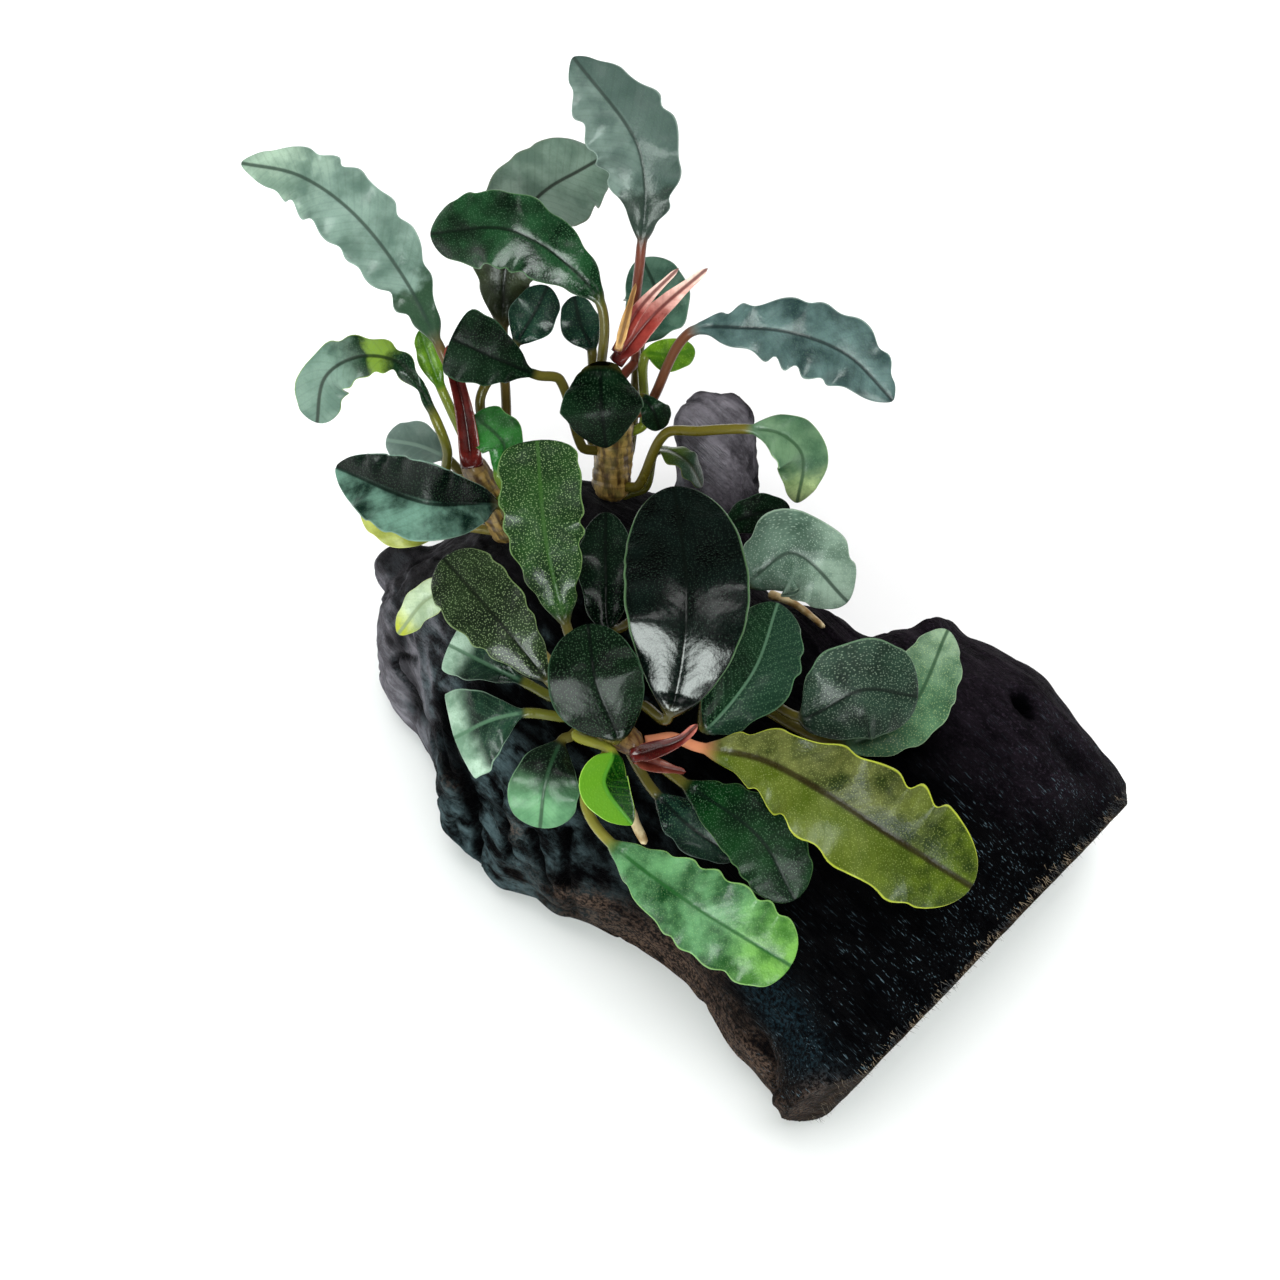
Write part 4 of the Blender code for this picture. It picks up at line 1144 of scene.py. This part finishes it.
class LeafFinish(Finish):
    """The wet, speckled, pebbled skin of one kind of leaf."""

    def __init__(self, name, look):
        super().__init__("leaf_" + name, look["gloss"][1], look["coat"], coat_roughness=0.2,
                         specular=look["specular"])
        self.look = look
        self.across, self.along, self.side = self.attribute(PLACE)
        self.reach, distance, vein = self.attribute(MEASURE)
        place = self.place()
        self.mottle = self.noise(place, 230, detail=5, roughness=0.55)
        self.fine = self.noise(place, 1500, detail=3)
        self.shift = self.math("MULTIPLY", self.math("SUBTRACT", self.mottle, 0.5), 0.22)
        self.wave = self.math("SINE", self.math("MULTIPLY", vein, 2 * math.pi * MM / VEIN_SPACING))
        self.spots = self.flat_cells(self.reach, distance, SPECKS_PER_MM)
        self.on_blade = self.step(self.along, 0.03, 0.15)

    def tone(self, name):
        """A tone of the look as a colour; it is deepened, because light and gloss lift it again."""
        return screen(*[255 * (part / 255) ** SKIN_DEPTH for part in self.look[name]])

    def tones(self):
        """The mottle of the blade, with the tones of its right half, its bend and its tip."""
        look = self.look
        wobble = self.math("ADD", self.along, self.shift)
        colour = self.mix(self.step(self.mottle, 0.3, 0.7), self.tone("dark"), self.tone("light"))
        if "right" in look:
            right = self.step(self.across, -0.05, 0.12, 0, look["right_share"])
            colour = self.mix(right, colour, self.tone("right"))
        if "bend" in look:
            start, end = look["bend_span"]
            before = self.step(wobble, start - BEND_EDGE, start)
            past = self.step(wobble, end, end + BEND_EDGE, 1, 0)
            colour = self.mix(self.math("MULTIPLY", before, past), colour, self.tone("bend"))
        if "tip_dark" in look:
            tip = self.mix(self.step(self.mottle, 0.34, 0.66), self.tone("tip_dark"), self.tone("tip_light"))
            colour = self.mix(self.step(wobble, *look["tip_span"]), colour, tip)
        return colour

    def marks(self, colour):
        """Veins, specks, midrib and margin on the blade, and then the underside and the stalk."""
        strewn = self.step(self.fine, 0.36, 0.56, 0.25, 1)
        specks = self.step(self.spots, 0.08, 0.3, self.look["specks"], 0)
        from_rib = self.math("ABSOLUTE", self.reach)
        rib_width = self.look["rib_width"]
        marks = (
            ("rib", self.step(self.wave, 0.55, 1.0, 0, 0.1)),
            ("speck", self.math("MULTIPLY", specks, strewn)),
            ("rib", self.step(from_rib, 0.3 * rib_width, rib_width, 0.85, 0)),
            ("edge", self.step(self.math("ABSOLUTE", self.across), 0.95, 0.985, 0, 0.7)),
        )
        for name, share in marks:
            colour = self.mix(self.math("MULTIPLY", share, self.on_blade), colour, self.tone(name))
        colour = self.mix(self.step(self.side, -0.2, 0.2, 0.8, 0), colour, self.tone("under"))
        return self.mix(self.step(self.along, -0.01, 0.09, 1, 0), colour, self.tone("stalk"))

    def whole(self):
        """The finished material."""
        smooth = self.bump(self.mottle, 0.5 * MM, strength=0.3)
        smooth = self.bump(self.wave, 0.02 * MM, strength=0.2, under=smooth)
        self.feed(self.shader, {"Coat Normal": self.bump(self.fine, 0.05 * MM, strength=0.2, under=smooth)})
        pebbles = self.math("MULTIPLY", self.spots, -1)
        normal = self.bump(pebbles, 0.1 * MM, strength=0.4, under=smooth)
        normal = self.bump(self.fine, 0.1 * MM, strength=0.3, under=normal)
        roughness = self.math("ADD", self.step(self.along, 0.15, 0.6, *self.look["gloss"]), self.shift)
        return self.done(self.marks(self.tones()), roughness, normal)


def leaf_look(name):
    """The finish of a look, made the first time that it is asked for."""
    if name not in made_looks:
        duller = [0.75 * part + 22 for part in LOOKS[name]["light"]]
        made_looks[name] = LeafFinish(name, {**PLAIN, "under": duller, **LOOKS[name]}).whole()
    return made_looks[name]


print("leaf looks:", len(LOOKS))

# %% [markdown]
# ## The back crown
#
# The tallest crown stands on the far side of the wood. Its leaves leave the rhizome one above
# another, from the low arching strip to the tall upright leaf. A leaf's row names its slot, its
# look, its width in millimetres, its route and what is special in its shape.

# %% Grow the back crown
BACK_LEAVES = (
    ("arching_strip", "olive_leaf", "olive_strip", 4.5, ((655, 452, 38), (684, 459, 41), (702, 487, 37)),
     dict(roll=-35, wave=0.2)),
    ("long_stalk", "teal_leaf", "stalk_fan", 8.4,
     ((665, 434, 46), (700, 431, 49), (745, 429, 51), (780, 434, 51), (802, 456, 48), (797, 503, 41)),
     dict(blade_from=2, roll=-15, wave=0.4, taper=1.1, point=0.4)),
    ("behind_sheath", "teal_leaf", "teal_mid", 10, ((640, 345, 49), (657, 300, 51), (642, 258, 53)), {}),
    ("inner_right", "dark_leaf", "teal_deep", 6, ((592, 352, 50), (581, 325, 52), (574, 296, 54)), {}),
    ("left_glossy", "dark_leaf", "dark_satin", 10.5,
     ((560, 380, 52), (537, 375, 54), (497, 359, 58), (451, 338, 61)),
     dict(blade_from=1, widest=0.82, bluntness=5, wave=0.4, taper=1.15)),
    ("young_bright", "young_leaf", "bright", 5, ((645, 356, 51), (670, 355, 50), (695, 350, 49)),
     dict(wave=0.1)),
    ("front_heart", "dark_leaf", "dark_satin", 12, ((601, 378, 58), (602, 410, 58), (606, 448, 52)),
     dict(widest=0.45, wave=0.2, cup=-0.25, scallop=0.2, frill=0.15, taper=0.3, bluntness=2.0, point=0.35)),
    ("right_wavy", "teal_leaf", "slate", 10.8,
     ((688, 334, 57), (745, 328, 60), (800, 335, 60), (850, 357, 57), (893, 401, 53)),
     dict(wave=0.7, waves=4.5, widest=0.62, taper=1.0, point=0.45, scallop=0.85, frill=0.6,
          scallop_length=5.0)),
    ("small_right", "dark_leaf", "dark_satin", 4.5, ((642, 398, 51), (653, 410, 50.5), (660, 430, 46)),
     dict(wave=0.2)),
    ("arching_left", "dark_leaf", "deep_green", 11.3,
     ((602, 308, 63), (560, 258, 68), (505, 229, 71), (430, 234, 66)),
     dict(wave=0.6, cup=-0.15, widest=0.6, bluntness=3, scallop=0.6, frill=0.55, scallop_length=5.0)),
    ("upright_tall", "teal_leaf", "teal_red_stalk", 12.8,
     ((633, 329, 54), (641, 250, 66), (645, 190, 73), (634, 138, 79), (573, 57, 85)),
     dict(blade_from=1, wave=0.7, waves=4.5, widest=0.55, taper=1.1, point=0.5, scallop=0.85, frill=0.6,
          scallop_length=5.0)),
)

grow_crown("back", BACK_LEAVES)
print("back crown:", rhizomes["back"].used, "leaves")

# %% [markdown]
# ## The left crown
#
# This crown leans out over the wood's left end. Two of its leaves are long and wavy, one arches
# right over and shows a bright bend, and a few short ones fill its middle.

# %% Grow the left crown
LEFT_LEAVES = (
    ("olive_far", "teal_leaf", "olive_to_teal", 14,
     ((508, 440, 43), (506, 400, 46), (503, 333, 51), (507, 262, 60), (532, 203, 64), (603, 157, 62)),
     dict(blade_from=2, widest=0.6, bluntness=3, wave=0.8, scallop=0.65, frill=0.6, scallop_length=5.0)),
    ("pale_under", "olive_leaf", "yellow_under", 7, ((445, 528, 33), (400, 524, 36), (361, 507, 36)), {}),
    ("large_glossy", "dark_leaf", "sheen", 11.5, ((500, 505, 41), (425, 503, 47), (336, 467, 44)),
     dict(wave=0.9, waves=2, scallop=0.4, frill=0.7, point=0.5, cup=0.45)),
    ("inner", "dark_leaf", "teal_deep", 7, ((480, 402, 50), (515, 345, 55), (535, 312, 58), (548, 286, 60)),
     dict(blade_from=1)),
    ("small_green", "green_leaf", "leaf_green", 7, ((498, 474, 46), (504, 445, 49), (474, 415, 51)),
     dict(wave=0.2, widest=0.6, bluntness=3)),
    ("pale_behind", "teal_leaf", "teal_pale", 7, ((446, 458, 40), (420, 446, 41), (386, 440, 40)), {}),
    ("arched_far", "teal_leaf", "dark_to_yellow", 7.5,
     ((447, 450, 46), (436, 420, 50), (420, 388, 53), (398, 362, 55), (358, 357, 54), (325, 378, 50),
      (317, 423, 43)),
     dict(blade_from=1, widest=0.78, bluntness=3, wave=0.6, scallop=0.6, frill=0.4, taper=1.5)),
    ("young_bright", "young_leaf", "bright", 3.5, ((442, 390, 50), (430, 360, 53), (420, 330, 56)),
     dict(wave=0.1)),
    ("long_wavy", "teal_leaf", "teal", 10.8,
     ((442, 352, 57), (404, 278, 62), (355, 215, 67), (300, 176, 69), (241, 163, 68)),
     dict(wave=0.8, waves=5, widest=0.55, taper=0.95, point=0.4, scallop=0.85, frill=0.7,
          scallop_length=5.2)),
)

grow_crown("left", LEFT_LEAVES)
print("left crown:", rhizomes["left"].used, "leaves")

# %% [markdown]
# ## The middle leaves
#
# A few broad leaves lie between the front rosette and the back crown, low over the wood.

# %% Grow the middle leaves
MIDDLE_LEAVES = (
    ("pale_behind", "pale_leaf", "pale", 10, ((838, 744, 35), (905, 715, 36), (948, 630, 35)),
     dict(wave=0.5, scallop=0.6, frill=0.4)),
    ("grey_oval", "teal_leaf", "grey_dark", 14.2, ((798, 717, 39), (862, 690, 43), (918, 697, 40)),
     dict(bluntness=3)),
    ("right_oval", "dark_leaf", "half_lit", 12, ((704, 728, 42), (752, 674, 45), (778, 603, 45)),
     dict(taper=1.0, scallop=0.5)),
    ("dark_strip", "dark_leaf", "dark_wet", 8, ((612, 630, 41), (606, 570, 45), (606, 512, 47)), {}),
    ("pale_wavy", "pale_leaf", "pale_grey", 12.6, ((745, 583, 39), (793, 553, 43), (848, 602, 37)),
     dict(wave=0.8, widest=0.42, scallop=0.8, frill=0.7)),
    ("dark_far", "dark_leaf", "dark_satin", 5.5, ((722, 530, 38), (755, 514, 41), (790, 508, 40)), {}),
)

grow_crown("middle", MIDDLE_LEAVES)
print("middle leaves:", rhizomes["middle"].used)

# %% [markdown]
# ## The front rosette
#
# Thirteen leaves spread from one short stem. The broadest stand up, the older ones droop over
# the wood, and the youngest is still folded and bright green.

# %% Grow the front rosette
FRONT_LEAVES = (
    ("pale_left", "pale_leaf", "pale_yellow", 5, ((478, 592, 38), (432, 596, 38), (398, 634, 33)), {}),
    ("teal_left", "teal_leaf", "teal_fan", 7.5, ((526, 683, 38), (487, 664, 39), (449, 645, 38)),
     dict(widest=0.88, bluntness=6, taper=1.1)),
    ("speckled_left", "dark_leaf", "speckled", 10.8, ((551, 683, 44), (498, 620, 50), (443, 558, 49)),
     dict(widest=0.64, bluntness=3.2, scallop=0.4)),
    ("speckled_tall", "green_leaf", "green", 11.7, ((567, 628, 45), (546, 540, 53), (537, 440, 58)),
     dict(wave=0.4, widest=0.7, bluntness=7, taper=0.75, scallop=0.5, frill=0.45)),
    ("drooping_left", "teal_leaf", "teal_fan", 13, ((527, 713, 41), (492, 720, 41), (454, 738, 37)),
     dict(roll=10, taper=1.1, widest=0.92, bluntness=7, cup=-0.15)),
    ("drooping_front", "pale_leaf", "dark_to_pale", 10, ((562, 740, 38), (546, 780, 37), (540, 828, 31)),
     dict(wave=0.2, widest=0.58, bluntness=3)),
    ("young_folded", "young_leaf", "bright_folded", 7, ((612, 752, 42), (604, 784, 41), (632, 825, 38)),
     dict(wave=0.1, cup=0.5, widest=0.45, scallop=0.15, frill=0.1, point=0.55)),
    ("dark_oval", "dark_leaf", "dark", 13.3, ((617, 739, 43.5), (596, 682, 51), (588, 624, 54)),
     dict(wave=0.2, scallop=0.15, frill=0.15)),
    ("big_oval", "dark_leaf", "dark_blue", 17.5, ((668, 718, 44.5), (687, 605, 55.5), (674, 486, 57.5)),
     dict(bluntness=2.6, scallop=0.15, frill=0.2)),
    ("long_pale_tip", "pale_leaf", "green_to_pale", 12,
     ((585, 800, 37), (606, 838, 35), (690, 903, 34), (791, 966, 30)),
     dict(blade_from=1, wave=0.5, widest=0.66, bluntness=7, scallop=0.6, frill=0.6, point=0.15)),
    ("low_teal", "teal_leaf", "teal_deep", 6.5, ((655, 792, 35), (692, 828, 34), (737, 858, 32)), {}),
    ("dark_lower", "dark_leaf", "dark_green", 10.3, ((681, 781, 39), (758, 836, 39), (795, 900, 34)),
     dict(widest=0.62, bluntness=3, scallop=0.4)),
    ("long_olive", "olive_leaf", "large_olive", 15.3,
     ((698, 747, 43), (760, 759, 45), (825, 793, 45.5), (885, 832, 43), (972, 887, 36)),
     dict(wave=0.8, waves=4.5, widest=0.65, bluntness=3.2, scallop=0.95, frill=0.85, scallop_length=6.4)),
)

grow_crown("front", FRONT_LEAVES)
print("front rosette:", rhizomes["front"].used, "leaves")

# %% [markdown]
# ## Sheaths and roots
#
# Each new leaf comes out of a thin pointed sheath, red while it is fresh and tan when it has
# dried. Two roots hold the plant to the wood.

# %% Grow the sheaths
# Each: (name, slot, look, radius of its base in millimetres, route, width in millimetres).
SHEATHS = (
    ("back_long", "red_sheath", "red", 1.2, ((616, 362, 54), (655, 314, 60), (708, 268, 63)), 3.6),
    ("back_short", "red_sheath", "red", 0.8, ((616, 352, 56), (640, 308, 61), (679, 268, 64)), 2.2),
    ("back_dry", "tan_sheath", "tan_dry", 0.6, ((618, 350, 59), (627, 316, 63), (636, 283, 66)), 1.5),
    ("left", "red_sheath", "dark_red", 1.7, ((472, 466, 46), (463, 405, 53), (447, 345, 58)), 3.0),
    ("front_upper", "red_sheath", "dark_red", 1.1,
     ((634, 755, 43.5), (656, 749, 46), (680, 740, 47.5), (698, 724, 49)), 2.6),
    ("front_lower", "red_sheath", "pink", 0.9, ((636, 758, 42.5), (660, 766, 43.5), (686, 772, 43)), 2.4),
)

for name, slot, look, base, route, width in SHEATHS:
    node = "sheath_" + name
    form = Form(node, width=width, widest=0.25, bluntness=1.1, cup=0.45, wave=0, waves=1,
                radius=base * MM, point=0.6, scallop=0.05, frill=0.05)
    sheath = leaf_sheet(name + "_sheath", [seen(*place) for place in route], 0, form)
    keep_piece(sheath, leaf_look(look), slot, node)
print("sheaths:", len(SHEATHS))

# %% Grow the roots
# Each: (name, route over the wood, radius in millimetres).
ROOTS = (
    ("front", ((618, 790), (632, 815), (650, 846)), 1.0),
    ("right", ((765, 600), (795, 612), (822, 634)), 0.7),
)
ROOT_LIFT = 0.5 * MM
ROOT_STEP = 0.3 * MM
ROOT_COLUMNS = 18


def root_finish():
    made = Finish("cream_root", roughness=0.5, coat=0.3, coat_roughness=0.2)
    patches = made.noise(made.place(), 500, detail=4)
    colour = made.mix(made.step(patches, 0.35, 0.65), screen(150, 118, 70), screen(214, 196, 152))
    return made.done(colour, made.step(patches, 0.3, 0.7, 0.4, 0.6), made.bump(patches, 0.15 * MM, 0.5))


root_skin = root_finish()
for name, route, radius in ROOTS:
    places = [on_wood(across, down, radius * MM + ROOT_LIFT) for across, down in route]

    def root_radius(share, distance, turn, thick=radius * MM):
        knobbly = 1 + 0.05 * math.sin(distance / MM * 2.1) + 0.04 * math.sin(3 * turn + distance / MM)
        return thick * (1 - 0.4 * share) * knobbly * dome(share, 0.06)

    root = round_stem(name + "_root", places, root_radius, ROOT_STEP, ROOT_COLUMNS)
    keep_piece(root, root_skin, "root_skin", "root_" + name)
print("roots:", len(ROOTS))

# %% [markdown]
# ## Floor, light and camera
#
# The plant lies on a white table in a white room. The room is bright near the horizon and nearly
# dark overhead, so the wet leaves keep their deep colour. Two soft bright patches in it make the
# gloss: a small one overhead, and a larger, faintly green one low in front. Two wide lights, one
# from nearly overhead and one from the front left, light the rest without showing in the leaves.
# The camera looks down from the front at 55 degrees, with a long lens.

# %% Set the stage
FLOOR_SIZE = 6.0
FLOOR_TONE = (240, 240, 240)
SENSOR = 36
LENS = SENSOR * VIEW_DISTANCE / (2 * VIEW_CENTRE * VIEW_STEP)
CLIP_START = 0.01
# The bright patches of the room: (direction, half width in degrees, strength).
OVERHEAD_PATCH = ((0.1, -0.2, 1.0), 13, 2.5)
FRONT_PATCH = ((-0.1, -0.88, 0.46), 22, 13.0)
FRONT_TINT = (0.91, 1.0, 0.96, 1)
# The wide lights: (name, direction, strength, width in degrees).
SUNS = (("key", (0.25, 0.3, 1.0), 3.3, 75), ("fill", (-0.8, -0.5, 0.9), 1.25, 90))


class Room(Graph):
    """The world's light as a sum of ramps and lobes of its direction."""

    def __init__(self):
        world = bpy.data.worlds.new("white_room")
        world.use_nodes = True
        super().__init__(world.node_tree)
        self.direction = self.node("TexCoord", {}).outputs["Generated"]
        self.rise = self.node("SeparateXYZ", {0: self.direction}).outputs[2]
        self.total = 0.0
        bpy.context.scene.world = world

    def ramp(self, value, low, high, at_low, at_high):
        """Add a soft ramp of a value to the light."""
        share = self.step(value, low, high, at_low, at_high)
        self.total = self.math("ADD", self.total, share)
        return share

    def lobe(self, towards, spread, strength):
        """Add a bright patch that fades out over spread degrees."""
        ways = {0: self.direction, 1: Vector(towards).normalized()}
        closeness = self.node("VectorMath", ways, operation="DOT_PRODUCT").outputs["Value"]
        return self.ramp(closeness, math.cos(math.radians(spread)), 1, 0, strength)

    def light(self, tinted, tint):
        """Light the scene; the tinted patch has a colour of its own."""
        colour = self.mix(tinted, WHITE, tint)
        self.feed(self.nodes["Background"], {"Color": colour, "Strength": self.total})


def white_room():
    """Bright at the horizon, nearly dark overhead, with two soft bright patches."""
    room = Room()
    room.ramp(room.rise, 0.02, 0.4, 0.6, 0.02)
    room.lobe(*OVERHEAD_PATCH)
    front = room.lobe(*FRONT_PATCH)
    room.light(front, FRONT_TINT)


def soft_sun(name, towards, strength, spread):
    """A wide, far light from a direction, which doesn't show in the wet leaves."""
    bpy.ops.object.light_add(type="SUN", location=Vector(towards))
    light = bpy.context.object
    light.name = name
    light.data.energy = strength
    light.data.angle = math.radians(spread)
    light.visible_glossy = False
    light.rotation_euler = Vector(towards).to_track_quat("Z", "Y").to_euler()


bpy.ops.mesh.primitive_plane_add(size=FLOOR_SIZE, location=(0, 0, 0))
table = bpy.context.object
table.name = "table"
dress(table, Finish("white_table", roughness=0.6, specular=0.2).done(screen(*FLOOR_TONE)))
white_room()
for sun in SUNS:
    soft_sun(*sun)

bpy.ops.object.camera_add(location=VIEW_EYE, rotation=(math.radians(90) - VIEW_ELEVATION, 0, 0))
camera = bpy.context.object
camera.name = "front_camera"
camera.data.sensor_width = SENSOR
camera.data.lens = LENS
camera.data.clip_start = CLIP_START
bpy.context.scene.camera = camera
bpy.context.scene.view_settings.view_transform = "Standard"
print("lens", round(LENS, 1), "mm")
